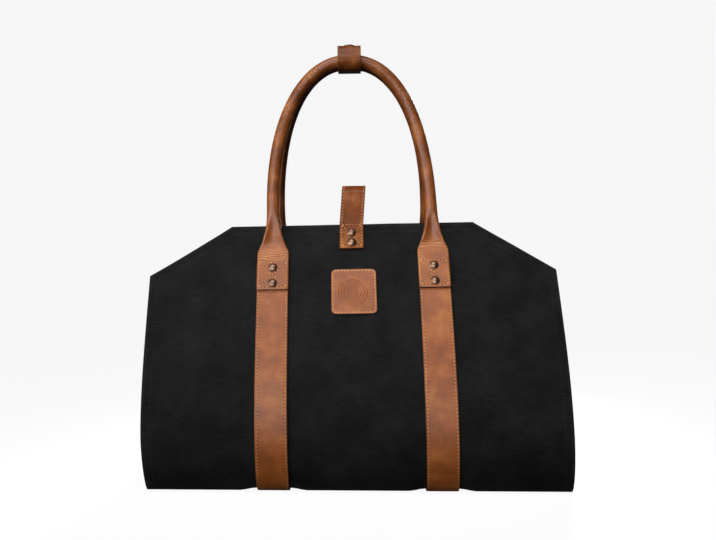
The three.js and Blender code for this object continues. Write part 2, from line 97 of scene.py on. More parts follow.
class CarrierShape(bpy.types.PropertyGroup):
    """The side view that the sheet is slung in, and how the carrier stands."""

    base: length("Base half depth", "Half the depth of the flat base", 106)
    belly: length("Belly half depth", "Half the depth at the belly", 134)
    belly_height: length("Belly height", "Height of the belly above the floor", 60)
    mouth: length("Mouth half depth", "Half the gap between the two panels at the mouth edge", 38)
    mouth_height: length("Mouth height", "Height of the mouth edge above the floor", 317)
    mouth_lean: FloatProperty(
        name="Mouth lean",
        description="How far the panels lean in at the mouth edge",
        default=math.radians(22),
        subtype="ANGLE",
    )
    belly_pull: length("Belly pull", "How far the panel runs upright above the belly", 75)
    mouth_pull: length("Mouth pull", "How far the panel runs straight below the mouth edge", 75)
    lean: factor("Lean", "Sideways lean to the left, as a share of the height", 0.021)
    gather: factor("Gather", "Share of its width that the mouth is gathered in", 0.012)
    twist: factor("Twist", "Turn of the base against the mouth", 0.028)
    twist_pivot: length("Twist pivot", "Height at which nothing is twisted", 190)


class CarrierCanvas(bpy.types.PropertyGroup):
    """The canvas sheet."""

    width: length("Width", "Finished width of the sheet, across the straps", 500)
    mouth_edge: length("Mouth edge", "Width of the mouth edge between the cut corners", 304)
    corner_drop: length("Corner drop", "How far down the sheet the corners are cut", 66)
    thickness: length("Thickness", "Thickness of the waxed cloth", 1.8)
    hem: length("Hem", "Width of the turned hem", 12.5)
    hem_thickness: length("Hem thickness", "Thickness of the turned hem", 3.4)
    swell: length("Swell", "How far the cloth swells between the places where it is sewn", 1.3)
    curl: length("Curl", "How far the left end curls in at the toe", 1.5)
    thread: length("Thread spacing", "Spacing of the threads of the weave as drawn", 1.5)
    tone: colour("Canvas", "Waxed black canvas", 0x080708)
    bloom: colour("Wax bloom", "Canvas where the wax has dried paler", 0x1C1C1D)


class CarrierLeather(bpy.types.PropertyGroup):
    """The long straps and the leather that all the straps, handles and the patch share."""

    width: length("Strap width", "Width of the long straps", 38)
    thickness: length("Strap thickness", "Thickness of the long straps", 2.6)
    spacing: length("Strap spacing", "Distance between the middles of the long straps", 198)
    end_drop: length("Strap end", "How far below the mouth edge the long straps end", 46)
    drape: length("Drape", "How far beside a strap the canvas takes to come down to the floor", 21)
    tone: colour("Leather", "Tan leather", 0x824415)
    # Paler leather where the oils have moved, and painted highlight on the bevelled edges and
    # crease folds.
    pulled: colour("Pulled up", "Leather where its oils have moved away", 0xA86A34)
    # Deep: leather dark with the hands' oils, and also painted shade on the keeper and closure.
    deep: colour("Deep", "Leather where it is soaked with oil", 0x471F09)
    # The edge tone is also the painted shade in the tab creases' valleys and round the awl holes.
    edge: colour("Edge", "Burnished edge of the leather", 0x40200F)


class CarrierHandles(bpy.types.PropertyGroup):
    """The two rolled handles."""

    tube: length("Roll diameter", "Diameter of the rolled part", 16)
    tab_width: length("Tab width", "Width of the flat tabs", 39)
    tab_thickness: length("Tab thickness", "Thickness of the flat tabs", 2.8)
    tab_end: length("Tab end", "How far below the mouth edge the tabs end", 89.5)
    tab_length: length("Tab length", "Length of the tab below the flare", 51.5)
    flare: length("Flare", "Length over which the roll opens into the tab", 67)
    standoff: length("Standoff", "Gap between the roll and the mouth edge", 1.2)
    spring: length("Spring", "Height above the mouth edge at which the arch begins", 18)
    rise: length("Rise", "Height of the arch above the mouth edge", 210.5)
    squareness: factor("Squareness", "Power of the arch's curve: 2 is an ellipse", 2.2)
    hollow: factor("Hollow", "Share of its thickness that is hollow where the roll opens", 0.62)
    slope: factor("Edge slope", "How far the handles still lean in above the mouth edge", 0.25)
    gap: length("Gap", "Gap between the two handles in the keeper", 0.9)
    front_sway: shift("Front sway", "How far the front handle bows to the right", -1.5)
    back_sway: shift("Back sway", "How far the back handle bows to the right", 0.5)


class CarrierFittings(bpy.types.PropertyGroup):
    """Closure strap, keeper, patch, rivets and snap."""

    closure_width: length("Closure width", "Width of the closure strap", 30)
    closure_thickness: length("Closure thickness", "Thickness of the doubled closure strap", 3.4)
    closure_end: length("Closure end", "How far below the mouth edge the closure strap ends", 34.5)
    closure_rise: length("Closure rise", "Height of the closure strap above the mouth edge", 50)
    closure_share: factor("Closure depth", "Its half depth on top as a share of the mouth's", 0.79)
    closure_corner: length("Closure corner", "Radius of the two bends of the closure strap", 14)
    closure_shift: shift("Closure shift", "How far to the right it lies on the mouth edge", -1.6)
    closure_skew: factor("Closure skew", "Lean to the right, as a share of its height", 0.084)
    keeper_width: length("Keeper width", "Width of the keeper", 30)
    keeper_thickness: length("Keeper thickness", "Thickness of the keeper's leather", 2.8)
    keeper_clearance: length("Keeper clearance", "Room between the keeper and the handles", 0.6)
    keeper_gap: length("Keeper gap", "Gap between the two laps of the keeper", 5.5)
    keeper_outer: length("Outer lap", "How far the outer lap runs past the middle", 11)
    keeper_inner: length("Inner lap", "How far the inner lap runs past the middle", 7)
    patch_width: length("Patch width", "Width of the patch", 55)
    patch_length: length("Patch length", "Length of the patch along the cloth", 59)
    patch_corner: length("Patch corner", "Corner radius of the patch", 6)
    patch_thickness: length("Patch thickness", "Thickness of the patch", 2.2)
    patch_inset: length("Patch inset", "How far the patch's stitches lie from its edge", 2.3)
    patch_drop: length("Patch drop", "How far below the mouth edge the patch's middle lies", 92)
    cap: length("Rivet cap", "Diameter of the rivet caps", 11)
    back_cap: length("Rivet back", "Diameter of the rivets' back caps", 9)
    snap: length("Snap cap", "Diameter of the snap's cap", 14.4)
    metal: colour("Copper", "Antiqued copper", 0x755A4A)
    patina: colour("Patina", "Copper in the hollows", 0x3C2A22)


class CarrierThread(bpy.types.PropertyGroup):
    """The sewing."""

    pitch: length("Stitch pitch", "Distance from one stitch to the next", 4.2)
    stitch: length("Stitch", "Length of the thread that shows", 3)
    weight: length("Thread", "Diameter of the thread", 0.8)
    inset: length("Inset", "How far the stitches lie from a leather edge", 2.4)
    # Awl holes are dark beads of painted shade where the thread dives into the leather.
    hole_width: length("Hole width", "Width of the awl holes across the row", 1)
    hole_height: length("Hole height", "Height of the dark bead that shows as an awl hole", 0.5)
    hole_drop: length("Hole drop", "How far it lies below the thread's middle", 0.12)
    tan: colour("Tan thread", "Waxed thread on the leather", 0xC4935E)
    black: colour("Black thread", "Thread on the hems", 0x19191B)
    hole: colour("Awl hole", "Leather pressed down at the awl holes", 0x1A0B04)


class CarrierStage(bpy.types.PropertyGroup):
    """Camera, floor and light."""

    distance: length("Camera distance", "From the camera to the middle of the carrier", 1240)
    height: length("Camera height", "Height of the camera above the floor", 260)
    lens: factor("Lens", "Focal length in millimetres on a 36 mm sensor", 48.37)
    paper: colour("Paper", "Tone of the background paper with no light behind it", 0x48484A)
    glow: factor("Paper glow", "How brightly the paper is lit from behind", 0.92)
    reach: length("Floor reach", "How far the floor runs out before it bends up", 4200)
    bend: length("Bend", "Radius of the bend from the floor to the wall", 800)
    wall: length("Wall", "Height of the wall", 6000)
    fill: factor("Fill light", "Strength of the light from all round", 0.04)


GROUPS = {
    "carrier_shape": CarrierShape,
    "carrier_canvas": CarrierCanvas,
    "carrier_leather": CarrierLeather,
    "carrier_handles": CarrierHandles,
    "carrier_fittings": CarrierFittings,
    "carrier_thread": CarrierThread,
    "carrier_stage": CarrierStage,
}

# Sewn and riveted places, in metres down from the mouth edge.
TAB_RIVETS = {"upper": 60.5 * MM, "lower": 81.5 * MM}
CLOSURE_RIVETS = {"upper": 13 * MM, "lower": 26.5 * MM}
TAB_BOX_TOP = 53.5 * MM
# Part of a handle below the mouth edge whose mesh is fine enough for the creases.
CREASED = (56 * MM, 26 * MM)
# How far above the tab's shoulder the hollow of an opening roll ends, and its run-out.
HOLLOW_END, HOLLOW_FADE = 56 * MM, 26 * MM
# Half the width of the strip that a handle is rolled from.
STRIP = 26 * MM
# Creases across the tabs: from and to how far below the mouth edge, and their depth.
CREASES = {"left": (33 * MM, 53 * MM, 0.9 * MM), "right": (26 * MM, 38 * MM, 0.7 * MM)}
HEM_ROWS = (2.6 * MM, 10.4 * MM)
# The stitches of the closure strap lie this far from its edge.
CLOSURE_GROOVE = 2.6 * MM


# ---- Form


def smooth(t):
    t = min(max(t, 0.0), 1.0)
    return t * t * (3 - 2 * t)


def lerp(a, b, t):
    return a + (b - a) * t


class Run:
    """A line in the side view, measured along itself. Its points are (y, z), and its right-hand
    side is outwards."""

    def __init__(self, points):
        self.points = points
        self.reach = [0.0]
        for a, b in zip(points, points[1:]):
            self.reach.append(self.reach[-1] + (b - a).length)
        self.length = self.reach[-1]
        ends = [points[0], *points, points[-1]]
        along = [(b - a).normalized() for a, b in zip(ends, ends[2:])]
        self.outward = [Vector((d.y, -d.x)) for d in along]

    def at(self, along, proud=0.0):
        i = min(max(bisect_right(self.reach, along), 1), len(self.points) - 1)
        share = (along - self.reach[i - 1]) / (self.reach[i] - self.reach[i - 1])
        outward = self.outward[i - 1].lerp(self.outward[i], min(max(share, 0), 1)).normalized()
        return self.points[i - 1].lerp(self.points[i], share) + outward * proud


def arc(centre, radius, start, end, steps=24):
    return [
        centre + Vector((math.cos(a), math.sin(a))) * radius
        for a in (lerp(start, end, k / steps) for k in range(steps + 1))
    ]


def curve(a, handle_a, handle_b, b, steps=60):
    return [Vector(p) for p in interpolate_bezier(a, handle_a, handle_b, b, steps)]


def distinct(points):
    """The same points without neighbours that coincide."""
    kept = points[:1]
    for p in points[1:]:
        if (p - kept[-1]).length > 1e-7:
            kept.append(p)
    return kept


class Carrier:
    """The form that every piece is laid on: a flat pattern point is (x across, y along the sheet
    from the front mouth edge, z inwards from the canvas's outer face)."""

    def __init__(self, scene):
        for name in GROUPS:
            setattr(self, name.removeprefix("carrier_"), getattr(scene, name))
        s = self.shape
        lean = Vector((math.sin(s.mouth_lean), -math.cos(s.mouth_lean)))
        turns = (math.pi / 2 * k / 40 for k in range(41))
        bulge = s.belly - s.base
        toe = [
            Vector((s.base + bulge * math.sin(a), s.belly_height * (1 - math.cos(a))))
            for a in turns
        ]
        wall = curve(
            Vector((s.belly, s.belly_height)),
            Vector((s.belly, s.belly_height + s.belly_pull)),
            Vector((s.mouth, s.mouth_height)) + lean * s.mouth_pull,
            Vector((s.mouth, s.mouth_height)),
        )
        back = distinct([Vector((0, 0)), *toe, *wall])
        front = [Vector((-p.x, p.y)) for p in reversed(back)]
        self.run = Run(distinct(front + back))
        self.half = self.run.length / 2
        self.strap_stack = SEAT + self.leather.thickness
        self.tab_stack = self.strap_stack + SEAT + self.handles.tab_thickness

    def rise(self, x, height):
        """The canvas rides over the straps that run beneath it."""
        beside = abs(abs(x) - self.leather.spacing / 2) - self.leather.width / 2 - MM
        low = smooth(1 - height / self.shape.belly_height)
        return self.strap_stack * smooth(1 - beside / (self.leather.drape - MM)) * low

    def settle(self, p):
        s = self.shape
        risen = min(p.z, s.mouth_height)
        return Vector(
            (
                p.x * (1 - s.gather * (risen / s.mouth_height) ** 2) - s.lean * p.z,
                p.y - s.twist * p.x * (1 - risen / s.twist_pivot),
                p.z + s.lean * p.x * risen / s.mouth_height,
            )
        )

    def place(self, flat):
        """Where a flat pattern point lies on the standing carrier."""
        at = self.run.at(flat.y, -flat.z)
        base = self.run.at(flat.y)
        return self.settle(Vector((flat.x, at.x, at.y + self.rise(flat.x, base.y))))

    def along(self, side, drop):
        return drop if side == FRONT else self.run.length - drop

    def strap_x(self, hand):
        return hand * self.leather.spacing / 2

    def stand(self, x, along):
        """A frame on the sheet: its Z axis points outwards, and its X axis along the cloth."""
        at = self.place(Vector((x, along, 0)))
        out = (self.place(Vector((x, along, -MM))) - at).normalized()
        run = self.place(Vector((x, along + MM, 0))) - at
        run = (run - out * run.dot(out)).normalized()
        turn = Matrix((run, out.cross(run), out)).transposed()
        return Matrix.Translation(at) @ turn.to_4x4()


# ---- Mesh


def grid(across, along, x_steps, y_steps):
    """A flat grid from across[0] to across[1] in X and from along[0] to along[1] in Y."""
    bm = bmesh.new()
    bmesh.ops.create_grid(bm, x_segments=x_steps, y_segments=y_steps, size=0.5)
    size = Vector((across[1] - across[0], along[1] - along[0], 1))
    middle = (sum(across) / 2, sum(along) / 2, 0)
    bmesh.ops.scale(bm, vec=size, verts=bm.verts)
    bmesh.ops.translate(bm, vec=middle, verts=bm.verts)
    return bm


def cut(bm, at, towards, trim=False):
    """Cuts the flat mesh along a line through `at` square to `towards`, and with `trim` drops what
    is beyond it."""
    bmesh.ops.bisect_plane(
        bm,
        geom=bm.verts[:] + bm.edges[:] + bm.faces[:],
        dist=1e-6,
        plane_co=(*at, 0),
        plane_no=(*towards, 0),
        clear_outer=trim,
    )


def give_wall(bm, low, high, rounding, segments=2):
    """Turns the flat mesh into a slab between two heights with rounded rims."""
    bmesh.ops.recalc_face_normals(bm, faces=bm.faces)
    bmesh.ops.solidify(bm, geom=bm.faces[:], thickness=high - low)
    middle = (max(v.co.z for v in bm.verts) + min(v.co.z for v in bm.verts)) / 2
    for v in bm.verts:
        v.co.z = high if v.co.z > middle else low
    bmesh.ops.recalc_face_normals(bm, faces=bm.faces)
    if rounding:
        rim = [e for e in bm.edges if e.is_manifold and e.calc_face_angle() > 1]
        round_off(bm, rim, rounding, segments)


def round_off(bm, rim, radius, segments):
    bmesh.ops.bevel(
        bm,
        geom=rim,
        offset=radius,
        segments=segments,
        profile=0.5,
        affect="EDGES",
        material=-1,
        clamp_overlap=True,
    )


def keep_flat(bm):
    """Keeps the flat pattern as a UV map in metres, for grain and weave that follow the piece."""
    uv = bm.loops.layers.uv.new("cut")
    for face in bm.faces:
        for loop in face.loops:
            loop[uv].uv = loop.vert.co.xy


def wear(bm, inset, oil=0.0, rim=0.5):
    """Stores what the leather's wear and its painted light depend on: `edge` is the burnished cut
    edge, `pull` is the paler rim just inside it, partly pull-up leather and partly a painted
    highlight on the bevelled edge, and the oiling value is how dark the piece is all over, from the
    hands' oils and, on the keeper and closure, also as painted shade. `inset` gives a flat point's
    distance from the cut edge."""
    edge, pull, oil_and_shade_layer = (bm.verts.layers.float.new(name) for name in WEAR)
    for v in bm.verts:
        distance = inset(v.co)
        v[edge] = smooth(1 - distance / (0.7 * MM))
        v[pull] = rim * smooth(1 - abs(distance - 1.3 * MM) / (0.9 * MM))
        v[oil_and_shade_layer] = oil


def lay(bm, place):
    for v in bm.verts:
        v.co = place(v.co)


def smooth_object(name, bm, material):
    mesh = bpy.data.meshes.new(name)
    bm.to_mesh(mesh)
    bm.free()
    for polygon in mesh.polygons:
        polygon.use_smooth = True
    mesh.materials.append(material)
    made = bpy.data.objects.new(name, mesh)
    bpy.context.scene.collection.objects.link(made)
    return made


def piece(name, bm, material, nodes=(), sharp=50):
    """Makes the finished object: it rides on the carrier and stands for the CAD nodes named. Edges
    sharper than `sharp` degrees show."""
    made = smooth_object(name, bm, material)
    made.data.set_sharp_from_angle(angle=math.radians(sharp))
    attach(made, "root")
    if nodes:
        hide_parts(*nodes)
    return made


def spun(profile, steps=32):
    """A turned piece of metal: (radius, height) pairs from the axis round to the axis."""
    bm = bmesh.new()
    verts = [bm.verts.new((r, 0, h)) for r, h in profile]
    edges = [bm.edges.new(pair) for pair in zip(verts, verts[1:])]
    bmesh.ops.spin(
        bm,
        geom=verts + edges,
        cent=(0, 0, 0),
        axis=(0, 0, 1),
        angle=math.tau,
        steps=steps,
        use_merge=True,
    )
    bmesh.ops.remove_doubles(bm, verts=bm.verts, dist=1e-6)
    bmesh.ops.recalc_face_normals(bm, faces=bm.faces)
    return bm


def join(bm, part):
    """Moves a part's faces into another bmesh."""
    mesh = bpy.data.meshes.new("part")
    part.to_mesh(mesh)
    part.free()
    bm.from_mesh(mesh)
    bpy.data.meshes.remove(mesh)


def bead(bm, place, ends, lift, wide, tall):
    """An ellipsoid between two flat points, `lift` outwards, that sits square on the surface."""
    flat = [Vector((*p, -lift)) for p in ends]
    a, b = (place(p) for p in flat)
    out = (place(flat[0] - Vector((0, 0, MM))) - a).normalized()
    run = (b - a) / 2
    turn = Matrix((run, out.cross(run).normalized() * wide / 2, out * tall / 2)).transposed()
    at = Matrix.Translation((a + b) / 2) @ turn.to_4x4()
    bmesh.ops.create_icosphere(bm, subdivisions=1, radius=1, matrix=at)


def sew(threads, holes, thread, place, path, lift):
    """Sews along a flat path: a thread from each awl hole to the next, and, if a mesh is given for
    them, a dark bead of painted shade at each awl hole. `lift` is the height of the thread's
    middle, outwards, and the painted hole shade lies just below it."""
    shown = thread.stitch / thread.pitch
    for a, b in zip(path, path[1:]):
        count = max(1, round((b - a).length / thread.pitch))

        def row(into, middle, reach, lift, wide, tall):
            """One bead in each pitch, `reach` of the pitch to either side of its middle."""
            part = bmesh.new()
            for k in range(count):
                ends = [a.lerp(b, (k + middle + side * reach) / count) for side in (-1, 1)]
                bead(part, place, ends, lift, wide, tall)
            join(into, part)

        row(threads, 0.5, shown / 2, lift, thread.weight, thread.weight)
        # Painted shade: a dark bead at each awl hole, a little below the thread.
        if holes is not None:
            low = lift - thread.hole_drop
            row(holes, 0, (1 - shown) * 0.7, low, thread.hole_width, thread.hole_height)


# ---- Materials


class Nodes:
    """A material's node tree, with one way to add a node and short names for the usual ones."""

    def __init__(self, name):
        self.material = bpy.data.materials.new(name)
        self.material.use_nodes = True
        self.tree = self.material.node_tree
        self.tree.nodes.clear()
        self.output = self.add("ShaderNodeOutputMaterial", {})

    def add(self, kind, inputs, **settings):
        """Adds a node. `inputs` maps a socket to a value or to another node's output."""
        node = self.tree.nodes.new(kind)
        for key, value in settings.items():
            setattr(node, key, value)
        for key, value in inputs.items():
            if isinstance(value, bpy.types.NodeSocket):
                self.tree.links.new(value, node.inputs[key])
            else:
                node.inputs[key].default_value = value
        return node

    def value(self, kind, inputs, output=0, **settings):
        """Adds a node, and gives one of its outputs."""
        return self.add(kind, inputs, **settings).outputs[output]

    def pattern(self):
        """The piece's flat pattern, in metres."""
        return self.value("ShaderNodeUVMap", {}, uv_map="cut")

    def solid(self):
        """The place in the finished piece, in metres."""
        return self.value("ShaderNodeTexCoord", {}, "Object")

    def scaled(self, place, scale):
        return self.value("ShaderNodeMapping", {"Vector": place, "Scale": scale})

    def noise(self, place, scale, detail=2.0, roughness=0.5):
        inputs = {"Vector": place, "Scale": scale, "Detail": detail, "Roughness": roughness}
        return self.value("ShaderNodeTexNoise", inputs, "Fac")

    def remap(self, value, low, high, to_low=0.0, to_high=1.0):
        """Carries the range from `low` to `high` over to another, and clamps it there."""
        ends = {"From Min": low, "From Max": high, "To Min": to_low, "To Max": to_high}
        return self.value("ShaderNodeMapRange", {"Value": value, **ends})

    def weigh(self, value, weight, other, clamp=False):
        """`value` times `weight`, plus `other`."""
        inputs = {0: value, 1: weight, 2: other}
        return self.value("ShaderNodeMath", inputs, operation="MULTIPLY_ADD", use_clamp=clamp)

    def total(self, a, b, clamp=False):
        return self.value("ShaderNodeMath", {0: a, 1: b}, operation="ADD", use_clamp=clamp)

    def mix(self, share, low, high):
        """A colour between two others, by a share."""
        return self.value("ShaderNodeMix", {0: share, 6: low, 7: high}, 2, data_type="RGBA")

    def finish(self, inputs):
        """Ends the tree in its shader."""
        shader = self.add("ShaderNodeBsdfPrincipled", inputs)
        self.tree.links.new(shader.outputs[0], self.output.inputs["Surface"])
        return self.material


def waxed_duck(carrier):
    """Waxed cotton duck: a close plain weave, nearly black. The wax gives it a low dull sheen, with
    paler dry patches and faint slubs along the weft."""
    n = Nodes("waxed cotton duck")
    c = carrier.canvas
    cloth = n.pattern()
    # The real threads are 0.6 mm apart, too fine to show, so the weave is drawn coarser.
    weft = {
        "Vector": n.scaled(cloth, (1 / c.thread,) * 3),
        "Scale": WAVE,
        "Distortion": 0.6,
        "Detail": 1.0,
        "Detail Scale": 0.6,
    }
    weave = n.total(*(n.value("ShaderNodeTexWave", weft, "Fac", bands_direction=d) for d in "XY"))
    # Slubs: thicker stretches of weft, about 2 mm wide and 12 mm long.
    slubs = n.noise(n.scaled(cloth, (80, 420, 1)), 1.0, 3.0)
    # Dry wax: clouds 20 to 80 mm across.
    clouds = n.noise(cloth, 22.0, 6.0, 0.62)
    bloom = n.remap(n.weigh(slubs, 0.5, clouds), 0.6, 0.98)
    tone = n.mix(bloom, c.tone, c.bloom)
    # Painted shade: the gaps between the threads are painted darker than their tops.
    light = n.remap(weave, 0.0, 2.0, 0.7, 1.15)
    tone = n.value("ShaderNodeVectorMath", {0: tone, "Scale": light}, operation="SCALE")
    relief = {"Height": n.weigh(slubs, 0.8, weave), "Strength": 0.55, "Distance": 0.00035}
    return n.finish(
        {
            "Base Color": tone,
            "Roughness": n.remap(clouds, 0.3, 0.7, 0.62, 0.8),
            "IOR": 1.45,
            "Specular IOR Level": 0.1,
            "Sheen Weight": 0.03,
            "Sheen Roughness": 0.5,
            "Normal": n.value("ShaderNodeBump", relief),
        }
    )


def pull_up_leather(carrier):
    """Oiled pull-up cowhide: satin, tan, with clouds where the oil has moved, a fine pebble grain,
    thin scratches along its length, and dark burnished edges. It also carries painted light:
    painted shade in the crease valleys and, partly, darkening the keeper and closure, and painted
    highlight on the crease folds and, partly, in the paler rim by the edges."""
    n = Nodes("pull-up cowhide")
    c = carrier.leather
    hide = n.pattern()
    edge, pull, oil = (
        n.value("ShaderNodeAttribute", {}, "Fac", attribute_name=name) for name in WEAR
    )
    # Clouds of oil 15 to 60 mm across.
    clouds = n.noise(hide, 32.0, 5.0, 0.6)
    # Pebble grain: pores 0.8 mm apart, drawn 1.2 mm apart so that they show.
    pores = {"Vector": hide, "Scale": 820.0}
    pores = n.value("ShaderNodeTexVoronoi", pores, "Distance", feature="SMOOTH_F1")
    # Scratches: 0.5 mm wide and 20 mm long.
    scratches = n.remap(n.noise(n.scaled(hide, (900, 45, 1)), 1.0), 0.62, 0.78)
    # Darker where the oiling value is high: the hands' oils, and on the keeper and closure also
    # painted shade.
    deep = n.weigh(oil, 0.8, n.remap(clouds, 0.5, 0.1), clamp=True)
    # Paler with scratches, clouds and the rim by the edges; the rim and the crease folds are partly
    # painted highlight.
    pulled = n.weigh(scratches, 0.35, n.remap(clouds, 0.5, 0.85))
    pulled = n.total(pulled, pull, clamp=True)
    tone = n.mix(pulled, n.mix(deep, c.tone, c.deep), c.pulled)
    # Hands have polished the grain down where the leather is oiled.
    polished = n.remap(oil, 0.0, 0.4, 0.32, 0.04)
    grain = {"Height": pores, "Strength": polished, "Distance": 0.00025}
    grain = n.value("ShaderNodeBump", grain, invert=True)
    relief = {"Height": clouds, "Strength": 0.3, "Distance": 0.0008, "Normal": grain}
    return n.finish(
        {
            # The edge mask also carries the painted shade of the tab creases' valleys.
            "Base Color": n.mix(edge, tone, c.edge),
            "Roughness": n.weigh(oil, -0.12, n.remap(clouds, 0.3, 0.7, 0.44, 0.56)),
            "IOR": 1.5,
            # Leather soaked through with oil loses its finish, and with it most of its shine.
            "Specular IOR Level": n.remap(oil, 0.42, 0.6, 0.42, 0.12),
            "Normal": n.value("ShaderNodeBump", relief),
        }
    )


def waxed_thread(name, tone):
    """Twisted polyester thread, waxed: slightly shiny, with the twist showing as slanted ridges."""
    n = Nodes(name)
    # Twist: one turn of the thread every 1.2 mm.
    ply = {"Vector": n.solid(), "Scale": 262.0, "Distortion": 1.0}
    ply = n.value("ShaderNodeTexWave", ply, "Fac", bands_direction="DIAGONAL")
    relief = {"Height": ply, "Strength": 0.4, "Distance": 0.0002}
    twist = n.value("ShaderNodeBump", relief)
    return n.finish({"Base Color": tone, "Roughness": 0.5, "IOR": 1.5, "Normal": twist})


def painted_awl_hole_shade(carrier):
    """Painted shade of an awl hole: the leather round it is pressed down and soaked with wax, and
    the hole's shade is painted in, so it is nearly black.
    """
    n = Nodes("pressed leather at the awl holes")
    # Fibres about 0.5 mm across.
    tone = n.mix(n.noise(n.solid(), 1900.0), carrier.thread.hole, carrier.leather.edge)
    return n.finish({"Base Color": tone, "Roughness": 0.8, "Specular IOR Level": 0.1})


def antiqued_copper(carrier):
    """Copper-plated rivet steel, antiqued and rubbed bright on its crown: dark in the hollows, with
    fine handling scratches."""
    n = Nodes("antiqued copper")
    c = carrier.fittings
    # Tarnish spots about 2 mm across.
    tarnish = n.noise(n.solid(), 480.0, 4.0)
    relief = {"Height": tarnish, "Strength": 0.06, "Distance": 0.0002}
    return n.finish(
        {
            "Base Color": n.mix(n.remap(tarnish, 0.2, 0.5), c.patina, c.metal),
            "Metallic": 1.0,
            "Roughness": n.remap(tarnish, 0.3, 0.7, 0.44, 0.32),
            "Normal": n.value("ShaderNodeBump", relief),
        }
    )


def studio_paper(stage):
    """Seamless background paper: matt, plain and pale, and evenly lit from behind."""
    glow = {"Emission Color": linear(0xFFFFFF), "Emission Strength": stage.glow}
    return Nodes("studio paper").finish({"Base Color": stage.paper, "Roughness": 0.9, **glow})


FINISHES = {
    "canvas": waxed_duck,
    "leather": pull_up_leather,
    "awl hole": painted_awl_hole_shade,
    "copper": antiqued_copper,
    "tan thread": lambda carrier: waxed_thread("waxed tan thread", carrier.thread.tan),
    "black thread": lambda carrier: waxed_thread("bonded black thread", carrier.thread.black),
}
made_finishes = {}


def material(name, carrier):
    """Each finish is made once and shared."""
    if name not in made_finishes:
        made_finishes[name] = FINISHES[name](carrier)
    return made_finishes[name]


# ---- Canvas


def sheet_sides(carrier):
    """The eight straight sides of the cut sheet, as (point on it, direction outwards)."""
    half, mouth = carrier.canvas.width / 2, carrier.canvas.mouth_edge / 2
    drop, end = carrier.canvas.corner_drop, carrier.run.length
    slant = Vector((drop, half - mouth)).normalized()
    sides = [(Vector((hand * half, end / 2)), Vector((hand, 0))) for hand in (-1, 1)]
    sides += [(Vector((0, 0)), Vector((0, -1))), (Vector((0, end)), Vector((0, 1)))]
    for hand in (-1, 1):
        sides.append((Vector((hand * half, drop)), Vector((hand * slant.x, -slant.y))))
        sides.append((Vector((hand * half, end - drop)), Vector((hand * slant.x, slant.y))))
    return sides


def sheet_outline(carrier, inset):
    """The closed outline of the sheet, moved in by `inset`."""
    half, mouth = carrier.canvas.width / 2, carrier.canvas.mouth_edge / 2
    drop, end = carrier.canvas.corner_drop, carrier.run.length
    slope = math.atan2(drop, half - mouth)
    corner = inset * math.tan((math.pi / 2 - slope) / 2)
    shoulder = inset * math.tan(slope / 2)
    top = [Vector((mouth - shoulder, inset)), Vector((half - inset, drop + corner))]
    right = top + [Vector((p.x, end - p.y)) for p in reversed(top)]
    left = [Vector((-p.x, p.y)) for p in reversed(right)]
    loop = right + left
    return loop + loop[:1]


def swelling(carrier, p):
    """How the free cloth swells and dips between the places where it is sewn, outwards."""
    f, leather = carrier.fittings, carrier.leather
    x = abs(p.x)
    drop = min(p.y, carrier.run.length - p.y)

    def loose(distance, reach):
        """0 where it is held, and 1 where it is free, `reach` further on."""
        return smooth((distance - 2 * MM) / reach)

    free = loose(abs(x - leather.spacing / 2) - leather.width / 2, 30 * MM)
    free *= loose(carrier.run.at(p.y).y - 10 * MM, 50 * MM)
    if p.y < carrier.half:
        from_patch = (x - f.patch_width / 2, abs(drop - f.patch_drop) - f.patch_length / 2)
        free *= loose(max(from_patch), 24 * MM)
    free *= loose(max(x - f.closure_width / 2, drop - f.closure_end), 24 * MM)
    outer = smooth((x - leather.spacing / 2) / (100 * MM))
    # One swell about 120 mm long, and a weaker one of about 45 mm.
    slow = noise.noise(Vector((p.x * 11, p.y * 7, 3.1)))
    quick = noise.noise(Vector((p.x * 26, p.y * 19, 8.4)))
    return free * carrier.canvas.swell * (slow * (1 + 0.9 * outer) + 0.45 * quick)


def curled(carrier, p):
    """The left end of the sheet curls in round the toe."""
    height = carrier.run.at(p.y).y
    end = smooth((-p.x - carrier.canvas.width / 2 + 60 * MM) / (60 * MM))
    low = smooth(1 - height / (75 * MM)) * smooth(height / (4 * MM) + 0.35)
    return carrier.canvas.curl * end * low if p.y < carrier.half else 0.0


def sheet_place(carrier):
    def place(p):
        moved = Vector((p.x + curled(carrier, p), p.y, p.z - swelling(carrier, p)))
        return carrier.place(moved)

    return place


class CARRIER_OT_canvas(bpy.types.Operator):
    """Cuts, hems and hangs the canvas sheet"""

    bl_idname = "carrier.canvas"
    bl_label = "Canvas"
    bl_options = {"REGISTER", "UNDO"}

    def execute(self, context):
        carrier = Carrier(context.scene)
        c = carrier.canvas
        half, end = c.width / 2, carrier.run.length
        bm = grid((-half, half), (0, end), 76, 138)
        sides = sheet_sides(carrier)
        for at, out in sides[4:]:
            cut(bm, at, out, trim=True)
        # The hem steps down to the single cloth over this width.
        step = 0.7 * MM
        for at, out in sides:
            cut(bm, at - out * c.hem, out)
            cut(bm, at - out * (c.hem + step), out)
        give_wall(bm, 0, c.thickness, 0)

        def inside(p):
            return min((at - p.xy).dot(out) for at, out in sides)

        for v in bm.verts:
            if v.co.z > 0 and inside(v.co) < c.hem + step / 2:
                v.co.z = c.hem_thickness
        sharp = [e for e in bm.edges if e.calc_face_angle(0) > 1]
        rim = [e for e in sharp if all(inside(v.co) < MM for v in e.verts)]
        round_off(bm, rim, 1.1 * MM, 3)
        keep_flat(bm)
        lay(bm, sheet_place(carrier))
        finish = material("canvas", carrier)
        cloth = piece("canvas_cloth", bm, finish, ["canvas_sheet"], 60)
        return {"FINISHED"}


# ---- Straps and patch


def leather_piece(carrier, name, bm, node, sharp=50):
    piece(f"{name}_leather", bm, material("leather", carrier), [node], sharp)


